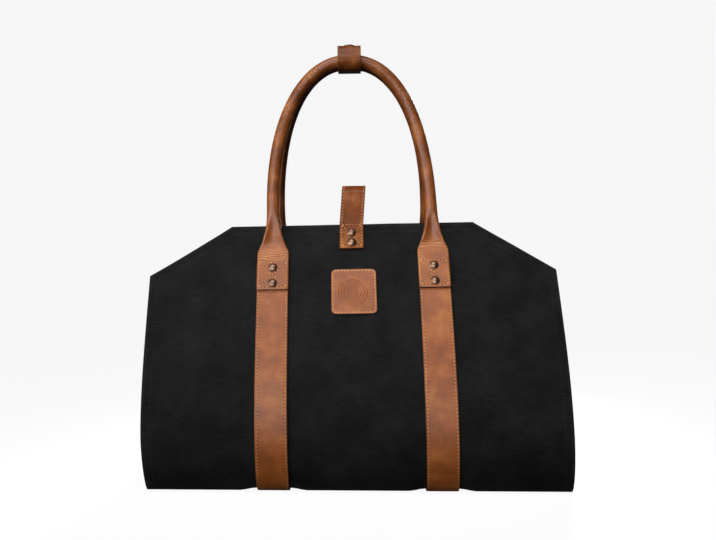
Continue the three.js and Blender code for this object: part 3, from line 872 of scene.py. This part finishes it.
def sunk(distance, half):
    """1 in the middle of the groove that the stitches pull down, and 0 beside it."""
    return max(0, 1 - abs(distance) / half)


def cut_grooves(bm, middle, half, groove):
    """Cuts a flat strip along the middle and both sides of its two grooves."""
    for side in (-1, 1):
        for inset in (groove - 0.6 * MM, groove, groove + 0.6 * MM):
            cut(bm, (middle + side * (half - inset), 0), (1, 0))


class CARRIER_OT_straps(bpy.types.Operator):
    """Makes the two long straps that run under the carrier"""

    bl_idname = "carrier.straps"
    bl_label = "Long straps"
    bl_options = {"REGISTER", "UNDO"}

    def execute(self, context):
        carrier = Carrier(context.scene)
        c, groove = carrier.leather, carrier.thread.inset
        half = c.width / 2
        start, end = c.end_drop, carrier.run.length - c.end_drop
        for name, hand in HANDS.items():
            middle = carrier.strap_x(hand)
            bm = grid((middle - half, middle + half), (start, end), 10, 210)
            cut_grooves(bm, middle, half, groove)
            give_wall(bm, -carrier.strap_stack, -SEAT, 0.7 * MM)

            def inset(p):
                return min(half - abs(p.x - middle), p.y - start, end - p.y)

            wear(bm, inset)
            keep_flat(bm)
            for v in bm.verts:
                if v.co.z < -SEAT - c.thickness / 2:
                    # The stitches pull a groove, and the leather is a little uneven.
                    wave = noise.noise(Vector((v.co.x * 30, v.co.y * 14, hand)))
                    v.co.z += 0.3 * MM * sunk(inset(v.co) - groove, 0.7 * MM)
                    v.co.z -= 0.12 * MM * (wave - 1)
            lay(bm, carrier.place)
            leather_piece(carrier, f"strap_{name}", bm, f"strap_{name}")
        return {"FINISHED"}


def patch_inset(carrier, p):
    """How far inside the patch's rounded outline a flat point lies."""
    f = carrier.fittings
    from_corner = Vector(
        (
            abs(p.x) - f.patch_width / 2 + f.patch_corner,
            abs(p.y - f.patch_drop) - f.patch_length / 2 + f.patch_corner,
        )
    )
    outside = Vector((max(from_corner.x, 0), max(from_corner.y, 0))).length
    return f.patch_corner - outside - min(max(from_corner), 0)


def patch_outline(carrier, inset):
    f = carrier.fittings
    half = Vector((f.patch_width / 2 - inset, f.patch_length / 2 - inset))
    radius = f.patch_corner - inset
    loop = []
    for k, (sx, sy) in enumerate(((1, 1), (-1, 1), (-1, -1), (1, -1))):
        centre = Vector((sx * (half.x - radius), f.patch_drop + sy * (half.y - radius)))
        loop += arc(centre, radius, k * math.pi / 2, (k + 1) * math.pi / 2, 2)
    return loop + loop[:1]


class CARRIER_OT_patch(bpy.types.Operator):
    """Makes the leather patch, pressed with growth rings"""

    bl_idname = "carrier.patch"
    bl_label = "Patch"
    bl_options = {"REGISTER", "UNDO"}

    def execute(self, context):
        carrier = Carrier(context.scene)
        f = carrier.fittings
        wide, tall = f.patch_width / 2, f.patch_length / 2
        bm = grid((-wide, wide), (f.patch_drop - tall, f.patch_drop + tall), 84, 90)
        # Each corner is trimmed by seven cuts round its arc.
        outline = arc(Vector((0, 0)), 1, 0, math.pi / 2, 7)
        middles = [(a + b).normalized() for a, b in zip(outline, outline[1:])]
        x, y = wide - f.patch_corner, tall - f.patch_corner
        for sx, sy in ((-1, -1), (-1, 1), (1, -1), (1, 1)):
            corner = Vector((sx * x, f.patch_drop + sy * y))
            for m in middles:
                out = Vector((sx * m.x, sy * m.y))
                cut(bm, corner + out * f.patch_corner, out, trim=True)
        give_wall(bm, -SEAT - f.patch_thickness, -SEAT, 0.6 * MM)
        # The patch's strong paler rim: partly pull-up leather, partly a painted highlight on its
        # bevelled edge.
        wear(bm, lambda p: patch_inset(carrier, p), rim=0.9)
        keep_flat(bm)
        burnish = bm.verts.layers.float["edge"]
        for v in bm.verts:
            if v.co.z < -SEAT - f.patch_thickness / 2:
                groove = sunk(patch_inset(carrier, v.co) - f.patch_inset, 0.8 * MM)
                ring = growth_ring(carrier, v.co)
                v[burnish] = max(v[burnish], 0.45 * ring)
                v.co.z += 0.3 * MM * groove + 0.8 * MM * ring
        lay(bm, carrier.place)
        leather_piece(carrier, "patch", bm, "patch")
        return {"FINISHED"}


def growth_ring(carrier, p):
    """Depth of the five pressed growth rings, from 0 to 1, with one check out to the bark."""
    offset = Vector((p.x + 1.2 * MM, p.y - carrier.fittings.patch_drop - 1.5 * MM))
    reach = offset.length
    if reach > 19 * MM:
        return 0.0
    angle = math.atan2(offset.y, offset.x)
    wobble = 1 + 0.06 * math.sin(2 * angle + 0.6) + 0.035 * math.sin(5 * angle + 2)
    ring = reach / wobble / (3.4 * MM)
    depth = smooth(1 - abs(ring - round(ring)) / 0.2) if 1 <= round(ring) <= 5 else 0.0
    if reach > 3 * MM:
        from_check = abs(math.remainder(angle - 0.9, math.tau)) * reach
        depth = max(depth, smooth(1 - from_check / (0.8 * MM)))
    return depth


# ---- Handles


def handle_section(turn, width, thickness, flat, hollow):
    """One point of a handle's cross section, as (across, towards its outer face)."""
    angle = math.pi * (turn + 0.5)
    even = 1 - 2 * abs(math.remainder(angle, math.tau)) / math.pi
    x = lerp(math.cos(angle), 0.6 * even + 0.4 * math.cos(angle), flat)
    power = 2 + 26 * flat * flat
    y = math.copysign(math.sqrt(max(0.0, 1 - abs(x) ** power)), math.sin(angle))
    if y > 0:
        y *= 1 - hollow * (1 - x * x) ** 2
    return Vector((x * width / 2, y * thickness / 2)), x


def crease(hand, drop, x):
    """Depth of the creases across a tab, below its flare: rounded folds with sharp valleys. With it
    comes painted light: above 0 on the folds, which are painted paler as a painted highlight, and
    below 0 in the valleys, which are painted darker as painted shade."""
    high, low, depth = CREASES[hand]
    here = smooth((drop - high) / (3 * MM)) * smooth((low - drop) / (3 * MM))
    if not here:
        return 0.0, 0.0
    wander = noise.noise(Vector((x * 1.9, drop * 45, high * 900)))
    fade = smooth(1.3 + 1.6 * noise.noise(Vector((x * 2.3, drop * 260, 4.7))))
    fold = abs(math.sin(math.pi * (drop + 3.4 * MM * wander) / (3.6 * MM)))
    strength = here * fade * (1 - x**8)
    return depth * strength * (1 - fold), strength * (fold - 0.45) * 1.6


class Leg:
    """A handle from its left tab over the arch to its right tab, before it settles."""

    def __init__(self, carrier, side):
        self.carrier, self.side = carrier, side
        h = carrier.handles
        self.shoulder = h.tab_end - h.tab_length
        self.top = carrier.shape.mouth_height + h.rise
        self.spring = carrier.shape.mouth_height + h.spring
        self.edge = self.on_sheet(0)["at"]
        drops = [h.tab_end, h.tab_end - 0.8 * MM]
        for low, steps in ((CREASED[0], 12), (CREASED[1], 52), (0, 20)):
            high = drops[-1]
            drops += [lerp(high, low, k / steps) for k in range(1, steps + 1)]
        half = carrier.leather.spacing / 2
        up = [self.on_sheet(drop) for drop in drops]
        # The tab's end has its corners taken off.
        up[0]["width"] -= 1.6 * MM
        up += [self.in_air(lerp(self.edge.y, self.spring, k / 7)) for k in range(1, 7)]
        stations = [dict(s, x=-half) for s in up]
        steps = 96
        for k in range(steps + 1):
            angle = math.pi * (1 - k / steps)
            z = self.spring + (self.top - self.spring) * self.squared(math.sin(angle))
            stations.append(dict(self.in_air(z), x=half * self.squared(math.cos(angle))))
        stations += [dict(s, x=half) for s in reversed(up)]
        self.stations = stations

    def squared(self, value):
        return math.copysign(abs(value) ** (2 / self.carrier.handles.squareness), value)

    def width_at(self, up):
        """The flare, with its shoulders rounded off."""
        h = self.carrier.handles
        near = (1 - (up + off) / h.flare for off in (-2 * MM, 0, 2 * MM))
        spread = sum(min(1, max(0.0, share)) ** 3.1 for share in near) / 3
        return h.tube + (h.tab_width - h.tube) * spread

    def hollow(self, up):
        return self.carrier.handles.hollow * smooth((HOLLOW_END - up) / HOLLOW_FADE)

    def on_sheet(self, drop):
        h, c = self.carrier.handles, self.carrier
        up = max(0.0, self.shoulder - drop)
        thickness = lerp(h.tab_thickness, h.tube, smooth(2 * up / h.flare))
        standoff = lerp(c.strap_stack + SEAT, h.standoff, smooth(up / self.shoulder))
        return {
            "at": c.run.at(drop, standoff + thickness / 2),
            "drop": drop,
            "width": self.width_at(self.shoulder - drop),
            "thickness": thickness,
            "flat": 1 - smooth(1.6 * up / h.flare),
            "hollow": self.hollow(up) * smooth(up / (12 * MM)),
        }

    def in_air(self, z):
        h = self.carrier.handles
        rise = self.top - self.edge.y
        t = (z - self.edge.y) / rise
        end = -(h.tube + h.gap) / 2
        y = self.edge.x + rise * h.slope * t * (1 - t) ** 2 + (end - self.edge.x) * smooth(t)
        up = self.shoulder + z - self.edge.y
        return {
            "at": Vector((y, z)),
            "drop": 0.0,
            "width": self.width_at(up),
            "thickness": h.tube,
            "flat": 0.0,
            "hollow": self.hollow(up),
        }

    def middle(self, k):
        s = self.stations[k]
        share = max(0.0, (s["at"].y - self.edge.y) / (self.top - self.edge.y))
        h = self.carrier.handles
        sway = h.front_sway if self.side == FRONT else h.back_sway
        return Vector((s["x"] + sway * math.sin(math.pi * share), s["at"].x, s["at"].y))

    def mesh(self, around=40):
        """A strip of leather rolled edge to edge: the seam lies on the inner side."""
        last = len(self.stations) - 1
        bm = grid((-1, 1), (0, last), around, last)
        uv = bm.loops.layers.uv.new("cut")
        edge, pull, oil = (bm.verts.layers.float.new(name) for name in WEAR)
        middles = [self.middle(k) for k in range(last + 1)]
        reach = [0.0]
        for a, b in zip(middles, middles[1:]):
            reach.append(reach[-1] + (b - a).length)
        for face in bm.faces:
            for loop in face.loops:
                p = loop.vert.co
                loop[uv].uv = (p.x * STRIP, reach[round(p.y)])
        for v in bm.verts:
            k, turn = round(v.co.y), v.co.x
            s = self.stations[k]
            along = (middles[min(k + 1, last)] - middles[max(k - 1, 0)]).normalized()
            out = (Vector((0, -1, 0)) + along * along.y).normalized()
            across = along.cross(out)
            hand = "left" if s["x"] < 0 else "right"
            at, x = handle_section(turn, s["width"], s["thickness"], s["flat"], s["hollow"])
            painted_crease_light = 0.0
            if at.y > 0:
                depth, painted_crease_light = crease(hand, s["drop"], x)
                at.y -= depth
            rolled = 1 - s["flat"]
            # The two edges of the strip dip where they meet in the seam.
            if abs(turn) > 0.999:
                at.y += 0.6 * MM * rolled
            uneven = noise.noise(middles[k] * 55 + Vector((turn * 1.3, self.side, 0)))
            at *= 1 + 0.012 * uneven * rolled
            rim = (1 - abs(x)) * s["width"] / 2
            end = self.carrier.handles.tab_end - s["drop"] if s["drop"] else 1
            inset = min(rim, end)
            # Painted light from the creases: the valleys take the burnished-edge tone as painted
            # shade, and the folds take the paler tone as painted highlight.
            v[edge] = max(smooth(1 - inset / (0.7 * MM)) * s["flat"], max(0.0, -painted_crease_light))
            # The tab's paler rim is partly a painted highlight on its bevelled edge.
            v[pull] = max(0.75 * smooth(1 - abs(inset - 1.3 * MM) / (0.9 * MM)) * s["flat"], painted_crease_light)
            v[oil] = lerp(0.42, 0.05, s["flat"])
            v.co = middles[k] + across * at.x + out * at.y
        bmesh.ops.remove_doubles(bm, verts=bm.verts, dist=2e-5)
        bmesh.ops.holes_fill(bm, edges=[e for e in bm.edges if e.is_boundary], sides=0)
        bmesh.ops.recalc_face_normals(bm, faces=bm.faces)
        if self.side == BACK:
            bmesh.ops.scale(bm, vec=(1, -1, 1), verts=bm.verts)
            bmesh.ops.reverse_faces(bm, faces=bm.faces)
        lay(bm, self.carrier.settle)
        return bm


class CARRIER_OT_handles(bpy.types.Operator):
    """Rolls the two handles and opens their ends into tabs"""

    bl_idname = "carrier.handles"
    bl_label = "Handles"
    bl_options = {"REGISTER", "UNDO"}

    def execute(self, context):
        carrier = Carrier(context.scene)
        for name, side in SIDES.items():
            node = f"handle_{name}"
            leather_piece(carrier, node, Leg(carrier, side).mesh(), node, 60)
        return {"FINISHED"}


# ---- Closure strap and keeper


def ribbon_place(carrier, run, aside=0.0, skew=0.0):
    """Lays a flat strip along a line of the side view: z is inwards from the line."""

    def place(p):
        at = run.at(p.y, -p.z)
        lean = skew * max(0.0, at.y - carrier.shape.mouth_height)
        return carrier.settle(Vector((p.x + aside + lean, at.x, at.y)))

    return place


def closure_place(carrier, run):
    return ribbon_place(carrier, run, carrier.fittings.closure_shift, carrier.fittings.closure_skew)


def closure_run(carrier):
    """The middle of the closure strap, from its back end over the mouth to its front end."""
    f, s = carrier.fittings, carrier.shape
    proud = SEAT + f.closure_thickness / 2
    on_cloth = [carrier.run.at(lerp(f.closure_end, 0, k / 12), proud) for k in range(13)]
    edge = on_cloth[-1]
    top = s.mouth_height + f.closure_rise - f.closure_thickness / 2
    side = -s.mouth * f.closure_share
    pull = (top - f.closure_corner - edge.y) / 3
    bend = Vector((side, top - f.closure_corner))
    rise = curve(
        edge,
        edge + Vector((math.sin(s.mouth_lean), math.cos(s.mouth_lean))) * pull,
        bend - Vector((0, pull)),
        bend,
        24,
    )
    corner = arc(bend + Vector((f.closure_corner, 0)), f.closure_corner, math.pi, math.pi / 2, 14)
    shares = [k / 6 for k in range(1, 7)]
    crown = [Vector((lerp(corner[-1].x, 0, t), top + 0.9 * MM * smooth(t))) for t in shares]
    front = distinct(on_cloth + rise + corner + crown)
    back = [Vector((-p.x, p.y)) for p in front]
    return Run(distinct(back + front[::-1]))


def keeper_run(carrier):
    """The middle of the keeper's leather, from the end of its outer lap round to its inner end, and
    the heights of its inner and its outer lap."""
    f, h, s = carrier.fittings, carrier.handles, carrier.shape
    tube_y = (h.tube + h.gap) / 2
    top = s.mouth_height + h.rise
    fall = (1 - (f.keeper_width / carrier.leather.spacing) ** h.squareness) ** (1 / h.squareness)
    bow = (h.rise - h.spring) * (1 - fall)
    radius = (h.tube + bow + f.keeper_thickness) / 2 + f.keeper_clearance
    middle = top - bow / 2
    inner = middle + radius
    outer = inner + f.keeper_thickness + f.keeper_gap
    # The outer lap leaves the bend here, and `pull` rounds its way up to the snap.
    leave, pull = 5 * math.pi / 6, 7 * MM
    front, back = Vector((-tube_y, middle)), Vector((tube_y, middle))
    left = front + Vector((math.cos(leave), math.sin(leave))) * radius
    flat = Vector((-f.snap / 2, outer))
    points = [Vector((f.keeper_outer, outer)), Vector((0, outer))]
    points += curve(
        flat,
        flat - Vector((pull, 0)),
        left + Vector((math.sin(leave), -math.cos(leave))) * pull,
        left,
        16,
    )
    points += arc(front, radius, leave, 1.5 * math.pi)
    points += arc(back, radius, -math.pi / 2, math.pi / 2)
    points += [Vector((0, inner)), Vector((-f.keeper_inner, inner))]
    return Run(distinct(points)), inner, outer


class CARRIER_OT_closure(bpy.types.Operator):
    """Makes the doubled closure strap and the keeper"""

    bl_idname = "carrier.closure"
    bl_label = "Closure strap and keeper"
    bl_options = {"REGISTER", "UNDO"}

    def execute(self, context):
        carrier = Carrier(context.scene)
        f = carrier.fittings
        half, thick, groove = f.closure_width / 2, f.closure_thickness, CLOSURE_GROOVE
        run = closure_run(carrier)
        bm = bmesh.new()
        # Two layers, with a fine line between their edges.
        for low, high in ((-thick / 2, -0.06 * MM), (0.06 * MM, thick / 2)):
            layer = grid((-half, half), (0, run.length), 8, 120)
            cut_grooves(layer, 0, half, groove)
            give_wall(layer, low, high, 0.5 * MM)
            join(bm, layer)

        def inset(p):
            return min(half - abs(p.x), p.y, run.length - p.y)

        # The closure is darkened all over: partly by handling oils, partly as painted shade.
        wear(bm, inset, oil=0.6)
        keep_flat(bm)
        for v in bm.verts:
            if v.co.z < -thick / 4:
                v.co.z += 0.28 * MM * sunk(inset(v.co) - groove, 0.7 * MM)
        lay(bm, closure_place(carrier, run))
        leather_piece(carrier, "closure_strap", bm, "closure_strap")

        run, _, _ = keeper_run(carrier)
        half, thick = f.keeper_width / 2, f.keeper_thickness
        bm = grid((-half, half), (0, run.length), 14, 150)
        give_wall(bm, -thick / 2, thick / 2, 0.7 * MM)
        # The keeper is darkened all over: partly by handling oils, partly as painted shade.
        wear(bm, lambda p: min(half - abs(p.x), p.y, run.length - p.y), oil=0.75)
        keep_flat(bm)
        lay(bm, ribbon_place(carrier, run))
        leather_piece(carrier, "keeper", bm, "keeper_wrap")
        return {"FINISHED"}


# ---- Rivets and snap


def rivet_profile(carrier, stack, cloth):
    """A domed cap, its post and its back cap, with heights from the canvas's outer face."""
    f = carrier.fittings
    cap, back, post = f.cap / 2, f.back_cap / 2, 1.8 * MM
    over, under = stack + SEAT, -cloth - SEAT
    rise = 2.6 * MM
    bow = (cap**2 + (rise - 0.7 * MM) ** 2) / (2 * (rise - 0.7 * MM))
    dome = [(cap - 0.25 * MM, over), (cap, over + 0.25 * MM)]
    for share in (1, 0.9, 0.75, 0.6, 0.45, 0.3, 0.15, 0):
        fall = bow - math.sqrt(bow**2 - (share * cap) ** 2)
        dome.append((share * cap, over + rise - fall))
    return [
        (0, under - 1.2 * MM),
        (0.8 * MM, under - 1.15 * MM),
        (1.3 * MM, under - 0.75 * MM),
        (0.8 * back, under - 1.15 * MM),
        (0.95 * back, under - 0.9 * MM),
        (back, under - 0.3 * MM),
        (0.96 * back, under),
        (post, under),
        (post, over),
        *dome,
    ]


class CARRIER_OT_metal(bpy.types.Operator):
    """Sets the rivets and the snap"""

    bl_idname = "carrier.metal"
    bl_label = "Rivets and snap"
    bl_options = {"REGISTER", "UNDO"}

    def execute(self, context):
        carrier = Carrier(context.scene)
        f, c = carrier.fittings, carrier.canvas
        for face, side in SIDES.items():
            for row, drop in TAB_RIVETS.items():
                for name, hand in HANDS.items():
                    node, x = f"rivet_{face}_{name}_{row}", carrier.strap_x(hand)
                    along = carrier.along(side, drop)
                    self.rivet(carrier, node, x, along, carrier.tab_stack, c.thickness)
            for row, drop in CLOSURE_RIVETS.items():
                node, x = f"closure_rivet_{face}_{row}", f.closure_shift
                cloth = c.hem_thickness if drop < c.hem + f.back_cap / 2 else c.thickness
                along = carrier.along(side, drop)
                self.rivet(carrier, node, x, along, SEAT + f.closure_thickness, cloth)
        self.snap(carrier)
        return {"FINISHED"}

    def rivet(self, carrier, node, x, along, stack, cloth):
        """Sets a rivet through the leather stacked on the cloth."""
        bm = spun(rivet_profile(carrier, stack, cloth))
        bmesh.ops.transform(bm, matrix=carrier.stand(x, along), verts=bm.verts)
        self.copper(carrier, node, bm)

    def copper(self, carrier, node, bm):
        piece(f"{node}_copper", bm, material("copper", carrier), [node], 35)

    def snap(self, carrier):
        f = carrier.fittings
        _, inner, outer = keeper_run(carrier)
        half = f.keeper_thickness / 2
        under, over = outer - half - SEAT, outer + half + SEAT
        cap = f.snap / 2
        profile = [
            (0, under - 1 * MM),
            (2.9 * MM, under - 1 * MM),
            (2.9 * MM, inner + half + 2 * MM),
            (3.6 * MM, inner + half + 1.8 * MM),
            (4.9 * MM, inner + half + 2.4 * MM),
            (5 * MM, under),
            (1.8 * MM, under),
            (1.8 * MM, over),
            (cap - 0.3 * MM, over),
            (cap, over + 0.3 * MM),
            (cap, over + 1 * MM),
            (0.94 * cap, over + 1.6 * MM),
            (0.75 * cap, over + 2 * MM),
            (0.4 * cap, over + 2.2 * MM),
            (0, over + 2.3 * MM),
        ]
        self.upright(carrier, "keeper_snap_cap", spun(profile, 40))
        under, over = inner - half - SEAT, inner + half + SEAT
        top = outer - half - SEAT - 1.3 * MM
        profile = [
            (0, under - 0.9 * MM),
            (4.2 * MM, under - 0.9 * MM),
            (4.4 * MM, under - 0.5 * MM),
            (4.3 * MM, under),
            (1.8 * MM, under),
            (1.8 * MM, over),
            (4.6 * MM, over),
            (4.6 * MM, over + 0.6 * MM),
            (4 * MM, over + 0.9 * MM),
            (2.2 * MM, over + 0.9 * MM),
            (2 * MM, over + 1.5 * MM),
            (2.4 * MM, top - 0.8 * MM),
            (1.8 * MM, top - 0.1 * MM),
            (0, top),
        ]
        self.upright(carrier, "keeper_snap_stud", spun(profile))

    def upright(self, carrier, node, bm):
        lay(bm, carrier.settle)
        self.copper(carrier, node, bm)


# ---- Sewing


def crossed_box(left, right, top, bottom):
    """The outline of a box of stitches and the two lines of the cross in it, as flat paths."""
    a, b, c, d = (Vector(p) for p in ((left, top), (right, top), (right, bottom), (left, bottom)))
    return [[a, b, c, d, a], [a, c], [b, d]]


class CARRIER_OT_sewing(bpy.types.Operator):
    """Sews the straps, tabs, patch and hems"""

    bl_idname = "carrier.sewing"
    bl_label = "Sewing"
    bl_options = {"REGISTER", "UNDO"}

    def execute(self, context):
        carrier = Carrier(context.scene)
        self.carrier, self.thread = carrier, carrier.thread
        self.straps()
        self.tabs()
        self.closure()
        self.patch()
        self.hems()
        return {"FINISHED"}

    def run(self, name, rows, finish="tan thread"):
        """Sews rows of (place, path, lift) as one piece. The painted shade of the awl holes shows
        on the outer leather only, and is another piece."""
        threads, holes = bmesh.new(), bmesh.new()
        for place, path, lift in rows:
            shown = holes if lift > 0 and finish == "tan thread" else None
            sew(threads, shown, self.thread, place, path, lift)
        piece(f"{name}_stitches", threads, material(finish, self.carrier), sharp=180)
        # The dark beads at the awl holes are painted shade.
        if holes.verts:
            hole_shade_finish = material("awl hole", self.carrier)
            piece(f"{name}_awl_holes", holes, hole_shade_finish, sharp=180)
        else:
            holes.free()

    def through(self, path, outside):
        """The two rows of a seam through a flat piece and the cloth, outside and inside."""
        place, cloth = self.carrier.place, self.carrier.canvas.thickness
        return [(place, path, outside), (place, path, -cloth - 0.1 * MM)]

    def straps(self):
        carrier = self.carrier
        start = carrier.handles.tab_end + 2 * MM
        for name, hand in HANDS.items():
            rows = []
            for side in (-1, 1):
                x = carrier.strap_x(hand) + side * (carrier.leather.width / 2 - self.thread.inset)
                path = [Vector((x, start)), Vector((x, carrier.run.length - start))]
                rows += self.through(path, carrier.strap_stack - 0.2 * MM)
            self.run(f"strap_{name}", rows)

    def tabs(self):
        carrier, h = self.carrier, self.carrier.handles
        inset = h.tab_width / 2 - self.thread.inset
        for face, side in SIDES.items():
            rows = []
            for hand in HANDS.values():
                x = carrier.strap_x(hand)
                ends = sorted(carrier.along(side, d) for d in (TAB_BOX_TOP, h.tab_end - 3.4 * MM))
                paths = crossed_box(x - inset, x + inset, *ends)
                for edge in (-1, 1):
                    up = sorted(carrier.along(side, d) for d in (TAB_BOX_TOP, 38 * MM))
                    paths.append([Vector((x + edge * inset, y)) for y in up])
                for path in paths:
                    rows += self.through(path, carrier.tab_stack + 0.1 * MM)
            self.run(f"tab_{face}", rows)

    def closure(self):
        carrier, f = self.carrier, self.carrier.fittings
        run = closure_run(carrier)
        place = closure_place(carrier, run)
        x, end = f.closure_width / 2 - CLOSURE_GROOVE, 3 * MM
        lift = f.closure_thickness / 2
        rows = []
        for side in (-1, 1):
            path = [Vector((side * x, end)), Vector((side * x, run.length - end))]
            rows += [(place, path, lift - 0.15 * MM), (place, path, -lift - 0.1 * MM)]
        for start in (end, run.length - f.closure_end + 2 * MM):
            outline, *cross = crossed_box(-x, x, start, start + f.closure_end - 5 * MM)
            # The long sides of the box are sewn already.
            for path in (outline[0:2], outline[2:4], *cross):
                rows.append((place, path, lift + 0.05 * MM))
        self.run("closure", rows)

    def patch(self):
        f = self.carrier.fittings
        outline = patch_outline(self.carrier, f.patch_inset)
        self.run("patch", self.through(outline, SEAT + f.patch_thickness - 0.2 * MM))

    def hems(self):
        place = sheet_place(self.carrier)
        lifts = (-0.25 * MM, -self.carrier.canvas.hem_thickness - 0.1 * MM)
        outlines = [sheet_outline(self.carrier, inset) for inset in HEM_ROWS]
        rows = [(place, outline, lift) for outline in outlines for lift in lifts]
        self.run("hem", rows, "black thread")


# ---- Stage


class CARRIER_OT_stage(bpy.types.Operator):
    """Sets the camera, the paper sweep and the lights"""

    bl_idname = "carrier.stage"
    bl_label = "Stage"
    bl_options = {"REGISTER", "UNDO"}

    def execute(self, context):
        s = context.scene.carrier_stage
        camera = bpy.data.objects.new("camera", bpy.data.cameras.new("camera"))
        context.scene.collection.objects.link(camera)
        camera.location = (0, -s.distance, s.height)
        camera.rotation_euler = (math.pi / 2, 0, 0)
        camera.data.sensor_width = 36
        camera.data.sensor_fit = "HORIZONTAL"
        camera.data.lens = s.lens
        camera.data.clip_start = 0.05
        context.scene.camera = camera

        bend = arc(Vector((s.reach, s.bend)), s.bend, -math.pi / 2, 0, 16)
        bm = spun([(0, 0), *map(tuple, bend), (s.reach + s.bend, s.wall)], 72)
        paper = smooth_object("paper_sweep", bm, studio_paper(s))
        # The paper is seen but throws no light of its own on the carrier, whose toe stays dark.
        paper.visible_diffuse = False
        paper.visible_glossy = False

        # Name, place, aim, power in watts, width and height, and spread in degrees.
        lights = (
            ("key_softbox", (-0.35, -1.9, 0.8), (0, 0, 0.27), 1.2, (0.9, 0.6), 24),
            ("top_softbox", (-0.2, -0.8, 2.0), (0, 0, 0.3), 5.6, (1.2, 0.5), 80),
            ("left_softbox", (-1.6, -1.3, 1.1), (0, 0, 0.46), 1.7, (0.5, 1.3), 30),
            ("back_softbox", (0.3, 1.8, 0.7), (0, 0, 0.12), 1.6, (0.9, 0.5), 22),
        )
        for name, at, towards, power, (wide, tall), spread in lights:
            data = bpy.data.lights.new(name, "AREA")
            data.shape = "RECTANGLE"
            data.size, data.size_y = wide, tall
            data.energy = power
            data.spread = math.radians(spread)
            light = bpy.data.objects.new(name, data)
            light.location = at
            aim = Vector(towards) - Vector(at)
            light.rotation_euler = aim.to_track_quat("-Z", "Y").to_euler()
            context.scene.collection.objects.link(light)

        world = bpy.data.worlds.new("studio")
        world.use_nodes = True
        background = world.node_tree.nodes["Background"]
        background.inputs["Color"].default_value = linear(0xFFFFFF)
        background.inputs["Strength"].default_value = s.fill
        context.scene.world = world
        context.scene.view_settings.view_transform = "Standard"
        return {"FINISHED"}


OPERATORS = (
    CARRIER_OT_stage,
    CARRIER_OT_canvas,
    CARRIER_OT_straps,
    CARRIER_OT_patch,
    CARRIER_OT_handles,
    CARRIER_OT_closure,
    CARRIER_OT_metal,
    CARRIER_OT_sewing,
)


class CARRIER_PT_panel(bpy.types.Panel):
    """The pieces of the log carrier, in the order in which they are made"""

    bl_idname = "CARRIER_PT_panel"
    bl_label = "Canvas log carrier"
    bl_space_type = "VIEW_3D"
    bl_region_type = "UI"
    bl_category = "Carrier"

    def draw(self, context):
        for operator in OPERATORS:
            self.layout.operator(operator.bl_idname)
        for name, group in GROUPS.items():
            box = self.layout.box()
            box.label(text=group.__name__.removeprefix("Carrier"))
            for key in group.__annotations__:
                box.prop(getattr(context.scene, name), key)


def register():
    for cls in (*GROUPS.values(), *OPERATORS, CARRIER_PT_panel):
        bpy.utils.register_class(cls)
    for name, group in GROUPS.items():
        setattr(bpy.types.Scene, name, PointerProperty(type=group))


def unregister():
    for name in GROUPS:
        delattr(bpy.types.Scene, name)
    for cls in (CARRIER_PT_panel, *reversed(OPERATORS), *reversed(GROUPS.values())):
        bpy.utils.unregister_class(cls)


def main():
    register()
    bpy.ops.carrier.stage()
    bpy.ops.carrier.canvas()
    bpy.ops.carrier.straps()
    bpy.ops.carrier.patch()
    bpy.ops.carrier.handles()
    bpy.ops.carrier.closure()
    bpy.ops.carrier.metal()
    bpy.ops.carrier.sewing()


if __name__ == "__main__":
    main()
